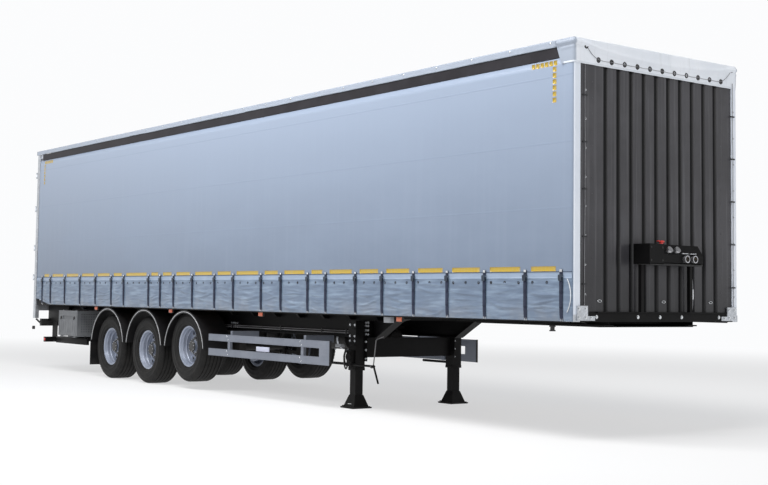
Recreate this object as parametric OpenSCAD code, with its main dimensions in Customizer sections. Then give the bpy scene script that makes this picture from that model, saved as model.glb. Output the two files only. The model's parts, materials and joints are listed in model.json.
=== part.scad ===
// Three-axle curtain-side semi trailer, parked on its landing legs.
// +X points forwards, +Y to the left, +Z up; the ground is z = 0.
// Lengths in millimetres. Stations along the trailer are measured from the
// rear face of the load body and carried to the origin by at_rear().

/* [Overall] */
// Length of the load body, rear frame to front wall
body_l = 13680; // [11400:10:16420]
// Width over the closed side curtains
body_w = 2540; // [2120:10:3050]
// Height of the roof edge above the ground
roof_z = 4000; // [3400:10:4800]
// Height of the load floor above the ground
floor_z = 1250; // [1250:5:1500]

/* [Coupling end] */
// Height of the coupler plate's underside above the ground
coupling_z = 1120; // [1000:5:1180]
// Distance of the kingpin behind the front wall
kingpin_back = 1560; // [1300:10:1870]
// Kingpin radius in the groove that the fifth wheel's jaw holds
pin_r = 25.4; // [20:0.1:45]
// Radius of the kingpin's lower collar
pin_collar_r = 35.7; // [30:0.1:60]

/* [Frame] */
// Height of the main beam's lower flange above the ground
beam_z = 875; // [820:5:940]
// Half distance between the two main beams
beam_y = 650; // [540:5:700]
// Width of a main beam's flange
flange_w = 140; // [100:5:170]
// Thickness of a main beam's flange
flange_t = 14; // [10:1:20]
// Thickness of a main beam's web
web_t = 8; // [6:1:14]
// Length from the landing legs forward to where the neck begins to rise
neck_lead = 280; // [200:10:600]
// Number of cross members under the floor
cross_count = 23; // [12:1:30]

/* [Running gear] */
// Distance of the rear axle from the rear face
axle_rear = 3105; // [2900:5:3600]
// Distance between axles
axle_pitch = 1310; // [1290:5:1600]
// Tyre outer radius, equal to the hub height of a wheel on the ground
tyre_r = 522; // [440:1:526]
// Width of a tyre
tyre_w = 385; // [300:5:400]
// Half distance between the tyres' middle planes
track_y = 998; // [960:1:1010]
// How far the front axle is lifted off the ground
lift = 103; // [0:1:103]
// Inner radius of a mudguard
guard_r = 613; // [600:1:630]

/* [Landing legs] */
// Distance of the landing legs behind the front wall
leg_back = 4210; // [3900:10:4900]
// Half distance between the landing legs
leg_y = 800; // [780:5:900]
// Side of the square inner leg tube
leg_w = 120; // [90:1:150]

/* [Doors and curtains] */
// Thickness of a rear door
door_t = 30; // [20:1:40]
// Gap round a rear door
door_gap = 10; // [6:1:15]
// Height of the strap buckles above the load floor
buckle_up = 360; // [300:5:420]

/* [Hidden] */
$fn = 48;

// Reach of the rear buffers behind the body and of the couplings before it
rear_reach = 90;
front_reach = 250;
x_rear = rear_reach - (rear_reach + body_l + front_reach) / 2;

floor_t = 30;
floor_under = floor_z - floor_t;
frame_y = body_w / 2 - 2;          // outer face of posts, both ends
rave_y = body_w / 2 - 30;          // outer face of the side rave
deck_y = body_w / 2 - 75;          // edge of the load floor
rave_z = floor_z - 85;
neck_z = coupling_z + 10;          // underside of the neck beams
end_t = 100;                       // depth of the end frames along X

// Roof levels
wall_top = roof_z - 100;
rail_z = roof_z - 190;             // underside of the dark curtain rail
flap_z = roof_z - 75;              // lower edge of the roof cover's side flap
cap_z = roof_z - 260;              // lower edge of the front roof cap

// Wheels
axle_x = [axle_rear, axle_rear + axle_pitch, axle_rear + 2 * axle_pitch];
axle_z = [tyre_r, tyre_r, tyre_r + lift];
guard_z = tyre_r + 18;             // centre of the mudguard arcs
hub_r = 118;

// Rear door hinges: the pin stands behind and outside the post
hinge_x = -50;
hinge_y = frame_y - 6;
hinge_pin_r = 8;
hinge_clear = 0.05;
hinge_zs = [420, 960, 1680, 2300];
door_face = 20;                    // outer face of the doors
door_edge = frame_y - 80;          // hinge edge of a door
door_lo = floor_z + 6;
door_hi = wall_top - 40 - door_gap;
rod_r = 13.5;
rod_x = door_face - 9;
rod_ys = [300, 900];

// Toolbox behind the rear wheels, right side
box_x0 = 1060;
box_x1 = 1850;
box_z0 = 640;
box_z1 = 1080;
box_y = 1187;
box_in = 760;
box_wall = 12;
lid_t = 24;
lid_gap = 5;
lid_hinge_z = box_z0 - 14;
lid_hinge_y = box_y + lid_gap + lid_t / 2;

// Legs
leg_x = body_l - leg_back;
neck_x = leg_x + neck_lead;
leg_out = leg_w + 26;
leg_low = 470;                     // lower edge of the outer leg tube

// Side guard rails run from the front wheel to the legs
sg_x0 = axle_x[2] + 721;
sg_x1 = leg_x + 4;
sg_y = body_w / 2 - 46;
sg_zs = [[533, 632], [741, 836]];

module at_rear() { translate([x_rear, 0, 0]) children(); }

// A block between two corners
module block(x, y, z) {
    translate([x[0], y[0], z[0]]) cube([x[1] - x[0], y[1] - y[0], z[1] - z[0]]);
}

// The same thing on the right and on the left
module both_sides() {
    children();
    mirror([0, 1, 0]) children();
}

// An outline in X and Z, carried across from y0 to y1
module across(y0, y1) {
    translate([0, y1, 0]) rotate([90, 0, 0]) linear_extrude(y1 - y0) children();
}

// An outline in Y and Z, carried along from x0 to x1
module along(x0, x1) {
    translate([x0, 0, 0]) rotate([90, 0, 90]) linear_extrude(x1 - x0) children();
}

// A round bar lying across the trailer
module cross_bar(r, x, z, y0, y1) {
    translate([x, y1, z]) rotate([90, 0, 0]) cylinder(h = y1 - y0, r = r);
}

// A square with one rounded corner, at its high end in both directions
module rounded_post(w, d, r) {
    union() {
        square([w - r, d]);
        square([w, d - r]);
        translate([w - r, d - r]) circle(r = r);
    }
}

// ---------------------------------------------------------------- frame

// Lower edge of a main beam: level as far as the landing legs, then rising
// into the shallow neck
beam_low = [
    [end_t + 10, beam_z], [neck_x, beam_z], [neck_x + 200, beam_z + 0.45 * (neck_z - beam_z)],
    [neck_x + 400, neck_z - 30], [neck_x + 560, neck_z], [body_l - end_t - 10, neck_z]
];

module main_beams() {
    top = floor_under;
    up = [[body_l - end_t - 10, top], [end_t + 10, top]];
    color([0.05, 0.05, 0.06]) at_rear() both_sides() {
        across(beam_y - web_t / 2, beam_y + web_t / 2) polygon(concat(beam_low, up));
        across(beam_y - flange_w / 2, beam_y + flange_w / 2) {
            polygon(concat(beam_low, [for (i = [len(beam_low) - 1 : -1 : 0])
                beam_low[i] + [0, flange_t]]));
            polygon([up[1] - [0, flange_t], up[0] - [0, flange_t], up[0], up[1]]);
        }
    }
}

// Outrigger outline: deep at the beam, shallow over the wheels
module outrigger(low) {
    shallow = floor_under - 50;
    polygon([
        [beam_y + web_t / 2, low], [beam_y + flange_w / 2, low],
        [beam_y + flange_w / 2 + 60, max(shallow, low)], [deck_y, max(shallow, low)],
        [deck_y, floor_under], [beam_y + flange_w / 2, floor_under],
        [beam_y + flange_w / 2, floor_under - flange_t],
        [beam_y + web_t / 2, floor_under - flange_t]
    ]);
}

module cross_members() {
    w = 50;
    first = end_t + 260;
    last = body_l - end_t - 260;
    step = (last - first) / (cross_count - 1);
    inner = beam_y - web_t / 2;
    color([0.06, 0.06, 0.07]) at_rear() for (i = [0 : cross_count - 1]) {
        x = first + i * step;
        low = x > neck_x + 250 ? neck_z + flange_t + 6 : floor_under - 120;
        along(x - w / 2, x + w / 2) {
            polygon([
                [-inner, low], [inner, low], [inner, floor_under - flange_t],
                [beam_y - flange_w / 2, floor_under - flange_t],
                [beam_y - flange_w / 2, floor_under], [flange_w / 2 - beam_y, floor_under],
                [flange_w / 2 - beam_y, floor_under - flange_t],
                [-inner, floor_under - flange_t]
            ]);
            outrigger(low);
            mirror([1, 0]) outrigger(low);
        }
    }
}

module side_raves() {
    t = 8;
    color([0.1, 0.1, 0.11]) at_rear() both_sides() along(end_t, body_l - end_t - 10)
        polygon([
            [deck_y, floor_z], [rave_y, floor_z], [rave_y, rave_z], [deck_y + 10, rave_z],
            [deck_y + 10, rave_z + t], [rave_y - t, rave_z + t], [rave_y - t, floor_z - t],
            [deck_y, floor_z - t]
        ]);
}

module deck_floor() {
    color([0.33, 0.22, 0.14]) at_rear()
        block([end_t, body_l - end_t - 10], [-deck_y, deck_y], [floor_under, floor_z]);
}

// ------------------------------------------------------------ front end

beam_top = floor_z + 30;           // shelf on top of the front beam
wall_t = 48;
wall_y = frame_y - 85;
groove_pitch = 191;
grooves = 10;
groove_mid = 50;                   // middle of the groove pattern, a little to the left
groove_d = 28;

module front_wall() {
    x1 = body_l - 12;
    color([0.16, 0.15, 0.16]) at_rear() translate([0, 0, beam_top]) linear_extrude(wall_top - beam_top)
        difference() {
            translate([x1 - wall_t, -wall_y]) square([wall_t, 2 * wall_y]);
            for (k = [0 : grooves - 1]) {
                y = groove_mid + groove_pitch * (k - (grooves - 1) / 2);
                polygon([[x1 + 1, y - 37], [x1 + 1, y + 37], [x1 - groove_d, y + 20],
                         [x1 - groove_d, y - 20]]);
            }
        }
}

module front_posts() {
    color([0.88, 0.9, 0.93]) at_rear() both_sides()
        translate([body_l - end_t - 10, wall_y, floor_z]) linear_extrude(wall_top - floor_z)
            rounded_post(end_t + 10, frame_y - wall_y, 18);
}

module front_beam() {
    lip = 22;
    color([0.07, 0.07, 0.08]) at_rear()
        along(body_l - end_t - 10, body_l) polygon([
            [-wall_y, floor_z - 72], [wall_y, floor_z - 72], [wall_y, beam_top],
            [-wall_y, beam_top]
        ]);
    color([0.07, 0.07, 0.08]) at_rear()
        block([body_l, body_l + lip], [-953, 953], [beam_top - 14, beam_top]);
}

// Corner blocks under the posts, with a plate on the front face
module front_corners() {
    low = floor_z - 72;
    plate_t = 12;
    color([0.62, 0.64, 0.66]) at_rear() both_sides() {
        block([body_l - end_t - 10, body_l], [wall_y, frame_y], [low, floor_z]);
        block([body_l, body_l + plate_t], [wall_y - 100, frame_y - 36], [low + 12, beam_top + 56]);
        block([body_l, body_l + plate_t], [wall_y - 200, wall_y - 100], [low + 12, low + 57]);
    }
}

module connection_box() {
    x1 = body_l + 214;
    z0 = floor_z + 517;
    z1 = floor_z + 722;
    color([0.05, 0.05, 0.06]) at_rear() {
        // A deep cabinet on the right, a sloping panel for the couplings beside it
        block([body_l, x1], [-410, -190], [z0, z1]);
        across(-190, 420) polygon([
            [body_l, z0], [x1 - 20, z0], [x1, z0 + 20], [x1, z0 + 100],
            [x1 - 70, z1], [body_l, z1]
        ]);
        for (y = [-342, 416])
            block([body_l + 22, body_l + 62], [y - 20, y + 20], [beam_top, z0]);
    }
}

// Two air couplings and two sockets on the sloping panel
coupling_ys = [-110, 10];
socket_ys = [135, 260];
panel_x = body_l + 214;
panel_z = floor_z + 617;

module couplings() {
    slope = atan2(70, 105);
    color([0.7, 0.7, 0.72]) at_rear() {
        for (y = coupling_ys) translate([panel_x - 22, y, panel_z + 33]) rotate([0, 90 - slope, 0]) {
            cylinder(h = 24, r = 22);
            translate([0, 0, 24]) cylinder(h = 20, r = 34);
        }
        for (y = socket_ys) translate([panel_x, y, panel_z - 40]) rotate([0, 90, 0])
            difference() {
                cylinder(h = 34, r = 38);
                translate([0, 0, 10]) cylinder(h = 25, r = 30);
            }
    }
}

// ------------------------------------------------------------------ roof

module roof_rails() {
    color([0.72, 0.74, 0.77]) at_rear() both_sides()
        along(end_t, body_l - end_t - 10) polygon([
            [deck_y, wall_top - 100], [deck_y + 25, wall_top - 100], [deck_y + 25, wall_top - 40],
            [rave_y + 6, wall_top - 40], [rave_y + 6, flap_z], [deck_y, flap_z]
        ]);
}

module curtain_rails() {
    x1 = body_l - 259;
    color([0.13, 0.11, 0.12]) at_rear() both_sides() across(rave_y + 10, body_w / 2 - 2)
        polygon([[230, rail_z], [x1 + 52, rail_z], [x1, flap_z], [230, flap_z]]);
}

module roof_bows() {
    n = 21;
    first = end_t + 300;
    step = (body_l - 2 * end_t - 610) / (n - 1);
    color([0.7, 0.72, 0.75]) at_rear() for (i = [0 : n - 1])
        block([first + i * step - 20, first + i * step + 20], [-deck_y, deck_y],
              [flap_z - 35, flap_z + 20]);
}

// Crowned skin with a flap down each side
module roof_cover() {
    y = body_w / 2 + 2;
    t = 10;
    color([0.86, 0.89, 0.93]) at_rear() along(-45, body_l - 245) polygon([
        [-y, flap_z], [-y, roof_z - 14], [-y + 14, roof_z], [0, roof_z + 16],
        [y - 14, roof_z], [y, roof_z - 14], [y, flap_z], [y - t, flap_z],
        [y - t, roof_z - 18], [0, roof_z - 6], [t - y, roof_z - 18], [t - y, flap_z]
    ]);
}

// Cap over the front corners: top, front hem and two side cheeks
module roof_front_cap() {
    y = body_w / 2 + 8;
    x0 = body_l - 245;
    x1 = body_l + 14;
    t = 6;
    color([0.86, 0.89, 0.93]) at_rear() {
        along(x0, x1) polygon([
            [-y, roof_z - 18], [-y, roof_z - 14], [-y + 14, roof_z], [0, roof_z + 16],
            [y - 14, roof_z], [y, roof_z - 14], [y, roof_z - 18], [0, roof_z - 6]
        ]);
        block([x1 - 12, x1], [-y, y], [cap_z, roof_z - 14]);
        both_sides() across(y - t, y)
            polygon([[x0, flap_z], [x0 + 75, cap_z], [x1, cap_z], [x1, roof_z - 14],
                     [x0, roof_z - 14]]);
    }
}

// ------------------------------------------------------- sides of the body

module side_pillars() {
    n = 3;
    color([0.66, 0.68, 0.7]) at_rear() both_sides() for (i = [1 : n])
        block([body_l * i / (n + 1) - 50, body_l * i / (n + 1) + 50],
              [deck_y, deck_y + 25], [floor_z, wall_top - 100]);
}

module curtain(y0) {
    color([0.58, 0.66, 0.78]) at_rear()
        block([end_t + 2, body_l - end_t - 12], [y0, y0 + 12], [floor_z - 70, rail_z - 4]);
}

module curtain_right() { mirror([0, 1, 0]) curtain(body_w / 2 - 12); }
module curtain_left() { curtain(body_w / 2 - 12); }

// Stations of the closing straps on a 13680 mm body: closer together where the
// body's side posts stand
strap_marks = [
    390, 770, 1400, 2040, 2670, 3280, 3740, 4610, 5000, 5430, 6010, 6660,
    7180, 7910, 8400, 9030, 9430, 10060, 10590, 11180, 11770, 12380, 13000, 13510
];

// Closing straps with their buckles
module curtain_straps() {
    y = body_w / 2;
    color([0.03, 0.05, 0.12]) at_rear() both_sides() for (mark = strap_marks) {
        x = mark * body_l / 13680;
        block([x - 22, x + 22], [y, y + 4], [floor_z - 60, floor_z + 440]);
        block([x - 26, x + 26], [y + 4, y + 27], [floor_z + buckle_up - 32, floor_z + buckle_up + 32]);
    }
}

// -------------------------------------------------------------- rear end

post_y = frame_y - 68;             // inner face of a rear post

module rear_frame() {
    color([0.5, 0.52, 0.55]) at_rear() {
        both_sides() block([0, end_t], [post_y, frame_y], [floor_z - 330, flap_z]);
        block([0, end_t], [-post_y, post_y], [floor_z - 190, floor_z]);
        block([0, end_t], [-post_y, post_y], [wall_top - 40, flap_z + 35]);
    }
}

// Fixed half of each hinge: two eyes on the post, and the pin between them
module hinge_post_half() {
    for (z = hinge_zs) translate([0, 0, floor_z + z]) {
        for (s = [0, 1]) mirror([0, 0, s]) translate([0, 0, 27]) {
            translate([hinge_x, hinge_y, 0]) cylinder(h = 28, r = 14);
            block([hinge_x, 0], [hinge_y - 12, hinge_y + 6], [0, 28]);
        }
        translate([hinge_x, hinge_y, -55]) cylinder(h = 110, r = hinge_pin_r);
    }
}

module door_hinges() {
    color([0.45, 0.46, 0.48]) at_rear() both_sides() hinge_post_half();
}

// Moving half: a cranked leaf that reaches round the post at full swing
module hinge_leaf() {
    face = door_face - hinge_x;
    edge = door_edge - hinge_y - 2;
    difference() {
        union() {
            cylinder(h = 50, r = 14);
            linear_extrude(50) polygon([
                [-8, -4], [18, -52], [22, edge - 24], [face, edge - 24], [face, edge],
                [34, edge], [34, -46], [8, 6]
            ]);
        }
        translate([0, 0, -1]) cylinder(h = 52, r = hinge_pin_r + hinge_clear);
    }
}

// A left-hand door; the right one is its mirror image
module door_panel() {
    lo = door_lo;
    hi = door_hi;
    union() {
        difference() {
            block([door_face, door_face + door_t], [4, door_edge], [lo, hi]);
            for (y = rod_ys)
                block([door_face - 1, door_face + 12], [y - 25, y + 25], [lo - 1, hi + 1]);
        }
        for (z = hinge_zs) translate([hinge_x, hinge_y, floor_z + z - 25]) hinge_leaf();
    }
}

module rear_door_left() { color([0.8, 0.82, 0.85]) at_rear() door_panel(); }
module rear_door_right() { color([0.8, 0.82, 0.85]) at_rear() mirror([0, 1, 0]) door_panel(); }

// Two locking rods with guides and a lever, for a left-hand door
module lock_rods() {
    guides = [120, 800, 1500, 2200, door_hi - floor_z - 100];
    for (y = rod_ys) {
        translate([rod_x, y, door_lo + 8]) cylinder(h = door_hi - door_lo - 16, r = rod_r);
        for (z = guides)
            block([rod_x - 17, door_face], [y - 42, y + 42], [floor_z + z - 20, floor_z + z + 20]);
        block([rod_x - 14, rod_x - 4], [y - 200, y + 8], [floor_z + 395, floor_z + 425]);
        block([rod_x - 4, door_face], [y - 200, y - 170], [floor_z + 385, floor_z + 435]);
    }
}

module lock_rods_left() { color([0.7, 0.71, 0.73]) at_rear() lock_rods(); }
module lock_rods_right() { color([0.7, 0.71, 0.73]) at_rear() mirror([0, 1, 0]) lock_rods(); }

module rear_buffers() {
    color([0.04, 0.04, 0.04]) at_rear() both_sides()
        block([-rear_reach, 0], [930, 1080], [floor_z - 185, floor_z - 65]);
}

// Carrier with its lamp units and the rubber arms at its ends
module rear_lamp_bar() {
    z1 = floor_z - 340;
    color([0.07, 0.07, 0.07]) at_rear() {
        block([40, end_t + 10], [-1150, 1150], [z1 - 130, z1]);
        both_sides() {
            block([0, 40], [740, 1120], [z1 - 122, z1 - 12]);
            translate([75, 1140, z1 - 90]) rotate([0, 52, 146]) translate([0, 0, -10]) cylinder(h = 145, r = 16);
            translate([-45, 1232, z1 - 195]) rotate([0, 0, 0]) cylinder(h = 60, r = 26);
        }
    }
}

module underrun_guard() {
    color([0.3, 0.31, 0.33]) at_rear() {
        block([300, 400], [-1175, 1175], [497, 588]);
        both_sides() {
            block([290, 500], [beam_y - 50, beam_y + 50], [588, beam_z]);
            block([300, 520], [1000, 1010], [588, 860]);
        }
    }
}

// --------------------------------------------------------------- toolbox

module toolbox() {
    y0 = -box_y;
    color([0.42, 0.43, 0.44]) at_rear() {
        difference() {
            block([box_x0, box_x1], [y0, -box_in], [box_z0, box_z1]);
            block([box_x0 + box_wall, box_x1 - box_wall], [y0 - 1, -box_in - box_wall],
                  [box_z0 + box_wall, box_z1 - box_wall]);
        }
        // Outer hinge eyes and their pin
        for (x = [box_x0 + 60, box_x1 - 90]) {
            translate([x, -lid_hinge_y, lid_hinge_z]) rotate([0, 90, 0]) cylinder(h = 30, r = 9);
            block([x, x + 30], [-lid_hinge_y, y0 + 8], [lid_hinge_z - 6, lid_hinge_z + 6]);
            block([x, x + 30], [y0 + 1, y0 + 11], [lid_hinge_z - 6, box_z0]);
        }
        translate([box_x0 + 60, -lid_hinge_y, lid_hinge_z]) rotate([0, 90, 0])
            cylinder(h = box_x1 - box_x0 - 120, r = 5);
        // Straps that hang the box from the frame
        for (x = [box_x0 + 100, box_x1 - 140])
            block([x, x + 40], [-box_in - 60, -box_in - 20], [box_z1, floor_under - 50]);
    }
}

module toolbox_lid() {
    color([0.55, 0.56, 0.57]) at_rear() difference() {
        union() {
            block([box_x0, box_x1], [-box_y - lid_gap - lid_t, -box_y - lid_gap],
                  [box_z0 + 4, box_z1]);
            for (x = [box_x0 + 96, box_x1 - 150]) {
                translate([x, -lid_hinge_y, lid_hinge_z]) rotate([0, 90, 0])
                    cylinder(h = 54, r = 9);
                block([x, x + 54], [-lid_hinge_y - 5, -lid_hinge_y + 5],
                      [lid_hinge_z, box_z0 + 5]);
            }
        }
        translate([box_x0 - 1, -lid_hinge_y, lid_hinge_z]) rotate([0, 90, 0])
            cylinder(h = box_x1 - box_x0 + 2, r = 5 + hinge_clear);
        // Recessed grip
        block([box_x0 + 180, box_x1 - 180], [-box_y - lid_gap - lid_t - 1, -box_y - lid_gap - 10],
              [box_z1 - 150, box_z1 - 90]);
    }
}

// ---------------------------------------------------------- running gear

seat_r = 286;                      // bead seat of the rim
flange_r = 300;
rim_w = tyre_w / 2 - 45;           // half width of the rim
axle_r = 63;
spindle_y = track_y - 240;         // inner face of the hub
disc_r = 215;                      // brake disc
disc_t = 40;
disc_y = spindle_y + 27;

// Axle tubes with a brake caliper and chamber ahead of each end
module axles() {
    grip = disc_y - 8;             // caliper's face beside the disc
    color([0.07, 0.07, 0.07]) at_rear() for (i = [0 : 2]) {
        x = axle_x[i];
        z = axle_z[i];
        cross_bar(axle_r, x, z, -spindle_y, spindle_y);
        both_sides() {
            block([x, x + 245], [grip - 40, spindle_y - 1], [z - 60, z + 50]);
            block([x + hub_r + 7, x + 245], [spindle_y - 1, grip], [z - 60, z + 50]);
            block([x + disc_r + 8, x + 245], [grip, disc_y + disc_t + 8], [z - 60, z + 50]);
            cross_bar(65, x + 178, z - 25, beam_y - 50, grip - 40);
        }
    }
}

arm_y = beam_y - 90;               // trailing arms, just inboard of the beams
arm_t = 45;
spring_back = 320;                 // air spring behind its axle

// Hangers under the beams and trailing arms slung below the axles
module suspension() {
    reach = 480;                   // pivot ahead of the axle
    pivot_z = tyre_r + 18;
    color([0.08, 0.08, 0.08]) at_rear() both_sides() for (i = [0 : 2]) {
        x = axle_x[i];
        z = axle_z[i] - axle_r;    // top of the arm under the axle
        across(arm_y - 60, arm_y + 60) polygon([
            [x + reach - 110, beam_z], [x + reach + 110, beam_z],
            [x + reach + 70, pivot_z - 60], [x + reach - 70, pivot_z - 60]
        ]);
        across(arm_y - 35, arm_y + 35) polygon([
            [x + reach - 66, pivot_z - 50], [x + reach - 66, pivot_z + 10],
            [x + 90, z], [x - 90, z], [x - 180, z - 30], [x - spring_back - 60, z - 30],
            [x - spring_back - 60, z - 60], [x - 180, z - 60], [x - 90, z - arm_t],
            [x + 90, z - arm_t]
        ]);
    }
}

// Rolled rubber bellows between each arm's tail and the beam
module air_springs() {
    color([0.05, 0.05, 0.05]) at_rear() both_sides() for (i = [0 : 2])
        translate([axle_x[i] - spring_back, arm_y, axle_z[i] - axle_r - 30]) {
            h = beam_z - axle_z[i] + axle_r + 30;
            cylinder(h = 50, r = 80);
            translate([0, 0, 50]) cylinder(h = h - 62, r = 118);
            translate([0, 0, h - 12]) cylinder(h = 12, r = 90);
        }
}

// Arched guards with a lip down the outer edge; the rear pair carries flaps
module mudguards() {
    t = 5;
    y0 = track_y - tyre_w / 2 - 8;
    y1 = body_w / 2 - 30;
    ends = 70;                     // how far the guard stops above its centre
    color([0.05, 0.05, 0.05]) at_rear() both_sides() {
        for (i = [0 : 2]) intersection() {
            translate([axle_x[i], y1, guard_z]) rotate([90, 0, 0]) difference() {
                cylinder(h = y1 - y0, r = guard_r + t, $fn = 96);
                translate([0, 0, 5]) cylinder(h = y1 - y0, r = guard_r, $fn = 96);
                translate([0, 0, -1]) cylinder(h = 20, r = guard_r - 40, $fn = 96);
            }
            block([axle_x[i] - 700, axle_x[i] + 700], [y0 - 1, y1 + 1],
                  [guard_z + ends, guard_z + 700]);
        }
        block([axle_rear - guard_r - t - 28, axle_rear - guard_r - t - 20], [y0, y1 - 5],
              [193, guard_z + ends + 60]);
        block([axle_rear - guard_r - t - 20, axle_rear - guard_r - t + 4], [y0 + 40, y1 - 45],
              [guard_z + ends + 8, guard_z + ends + 50]);
    }
}

// A tyre: rounded tread, bulged sidewalls, beads held between the rim's flanges
module tyre_shape() {
    w = tyre_w / 2;
    r = tyre_r;
    h = tyre_r - flange_r;
    function wall(s) = [
        [seat_r, s * (rim_w - 14)], [flange_r, s * (rim_w - 8)], [flange_r + 1, s * rim_w],
        [flange_r + 0.12 * h, s * (w - 12)], [flange_r + 0.45 * h, s * w],
        [flange_r + 0.7 * h, s * (w - 6)], [r - 32, s * (w - 18)], [r - 10, s * (w - 34)],
        [r - 2, s * (w - 60)]
    ];
    inner = wall(-1);
    outer = wall(1);
    rotate([90, 0, 0]) rotate_extrude($fn = 128) polygon(concat(
        inner, [[r, 0]], [for (i = [len(outer) - 1 : -1 : 0]) outer[i]]));
}

// A rim with its dished disc, hub and brake disc; the outer side is towards +Y
module rim_shape() {
    w = rim_w;
    hub_in = spindle_y + 3 - track_y;
    disc_in = disc_y - track_y;
    rotate([90, 0, 180]) rotate_extrude($fn = 96) polygon([
        [0, hub_in], [hub_r, hub_in], [hub_r, disc_in], [disc_r, disc_in],
        [disc_r, disc_in + disc_t], [hub_r, disc_in + disc_t], [hub_r, -40], [200, -30],
        [258, -40], [258, 12 - w], [seat_r, 2 - w], [flange_r, -w], [flange_r, 8 - w],
        [seat_r, 14 - w], [seat_r, w - 14], [flange_r, w - 8], [flange_r, w], [280, w - 4],
        [270, w - 40], [262, w - 90], [250, -16], [200, -8], [hub_r + 4, -14],
        [hub_r - 10, 40], [76, 48], [70, 90], [0, 94]
    ]);
}

module wheel_at(i, side) {
    at_rear() translate([axle_x[i], side * track_y, axle_z[i]])
        mirror([0, side < 0 ? 1 : 0, 0]) children();
}

module tyre(i, side) { color([0.06, 0.06, 0.06]) wheel_at(i, side) tyre_shape(); }
module rim(i, side) { color([0.72, 0.74, 0.77]) wheel_at(i, side) rim_shape(); }

// ----------------------------------------------------------- side guards

module side_guards() {
    t = 25;
    color([0.7, 0.72, 0.75]) at_rear() both_sides() {
        for (z = sg_zs) block([sg_x0, sg_x1], [sg_y - t, sg_y], z);
        block([sg_x1 - 228, sg_x1], [sg_y - t, sg_y], [sg_zs[0][0], sg_zs[1][1]]);
        for (x = [sg_x0 + 532, sg_x1 - 648]) {
            block([x - 30, x + 30], [sg_y - t - 40, sg_y - t], [sg_zs[0][0], sg_zs[1][1]]);
            block([x - 25, x + 25], [beam_y + flange_w / 2, sg_y - t - 40],
                  [sg_zs[1][1] - 40, beam_z + flange_t]);
        }
    }
}

// ---------------------------------------------------------- landing legs

module landing_legs() {
    w = leg_out / 2;
    x = leg_x;
    plate_y = beam_y + flange_w / 2;
    color([0.06, 0.06, 0.06]) at_rear() {
        both_sides() {
            // Outer tube, open below for the ram
            difference() {
                block([x - w, x + w], [leg_y - w, leg_y + w], [leg_low, floor_under - 130]);
                block([x - leg_w / 2, x + leg_w / 2], [leg_y - leg_w / 2, leg_y + leg_w / 2],
                      [leg_low - 1, leg_low + 260]);
            }
            // Bracket plate to the main beam and its slanting gusset
            block([x - 165, x + 165], [beam_y + web_t / 2, leg_y - w],
                  [beam_z + flange_t + 6, floor_under - 130]);
            block([x - 60, x + 115], [leg_y - w - 8, leg_y - w], [beam_z - 290, beam_z]);
            across(leg_y - 5, leg_y + 5) polygon([
                [x - 215, floor_under - 140], [x - w, floor_under - 140],
                [x - w, leg_low + 210], [x - w - 20, leg_low + 230]
            ]);
        }
        // Pressed brace between the legs and the brace pipes along the frame
        across(w - leg_y, leg_y - w) polygon([
            [x - 30, beam_z - 245], [x + 30, beam_z - 245], [x + 30, beam_z], [x - 30, beam_z],
            [x - 30, beam_z - 8], [x + 22, beam_z - 8], [x + 22, beam_z - 237],
            [x - 30, beam_z - 237]
        ]);
        both_sides() translate([x - w - 560, leg_y, leg_low + 70]) rotate([0, 90, 0])
            cylinder(h = 560, r = 17);
        // Gearbox and folded crank on the right-hand leg
        block([x - 50, x + 50], [-leg_y - w - 50, -leg_y - w], [leg_low + 50, leg_low + 250]);
        translate([x + w, -leg_y - w - 25, leg_low + 75]) rotate([0, 90, 0]) cylinder(h = 430, r = 14);
        block([x + w - 40, x + w], [-leg_y - w - 45, -leg_y - w + 1], [leg_low + 60, leg_low + 90]);
        translate([x + w + 415, -leg_y - w - 25, leg_low + 75]) rotate([0, 155, 0])
            translate([0, 0, -14]) cylinder(h = 240, r = 12);
    }
}

// Inner tubes on flared feet with a turned-up plate
module leg_rams() {
    w = leg_w / 2 - 2;
    foot = 145;
    edge = 10;
    color([0.05, 0.05, 0.05]) at_rear() both_sides() translate([leg_x, leg_y, 0]) {
        block([-w, w], [-w, w], [120, leg_low + 255]);
        intersection() {
            across(-foot, foot) polygon([
                [-w - 6, 165], [w + 6, 165], [foot - 30, 18], [foot - 12, 18],
                [foot, 30], [foot, 20], [foot - 14, 0], [14 - foot, 0], [-foot, 20],
                [-foot, 30], [12 - foot, 18], [30 - foot, 18]
            ]);
            rotate([0, 0, 90]) across(-foot, foot) polygon([
                [-w - 6, 165], [w + 6, 165], [foot - 30, 18], [foot, 18],
                [foot, 0], [-foot, 0], [-foot, 18], [30 - foot, 18]
            ]);
        }
    }
}

// -------------------------------------------------------------- coupling

module coupler_plate() {
    x0 = body_l - 2040;
    x1 = body_l - end_t - 60;
    color([0.09, 0.09, 0.09]) at_rear() difference() {
        block([x0, x1], [-beam_y - flange_w / 2, beam_y + flange_w / 2], [coupling_z, neck_z]);
        translate([body_l - kingpin_back, 0, coupling_z - 1]) cylinder(h = 12, r = 36.5);
    }
}

module kingpin() {
    color([0.5, 0.5, 0.52]) at_rear() translate([body_l - kingpin_back, 0, coupling_z]) rotate([180, 0, 0])
        rotate_extrude($fn = 96) polygon([
            [0, -28], [80, -28], [80, -10], [36.5, -10], [36.5, 35], [pin_r, 35],
            [pin_r, 70], [pin_collar_r, 70], [pin_collar_r, 84], [0, 84]
        ]);
}

module air_tanks() {
    x0 = leg_x - 1500;
    color([0.08, 0.08, 0.08]) at_rear() both_sides() {
        translate([x0, beam_y - 300, beam_z - 45]) rotate([0, 90, 0]) {
            cylinder(h = 800, r = 138);
            translate([0, 0, -30]) cylinder(h = 860, r = 100);
        }
        for (x = [x0 + 150, x0 + 610])
            block([x, x + 40], [beam_y - 320, beam_y - web_t / 2], [beam_z + 85, beam_z + 125]);
    }
}

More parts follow.
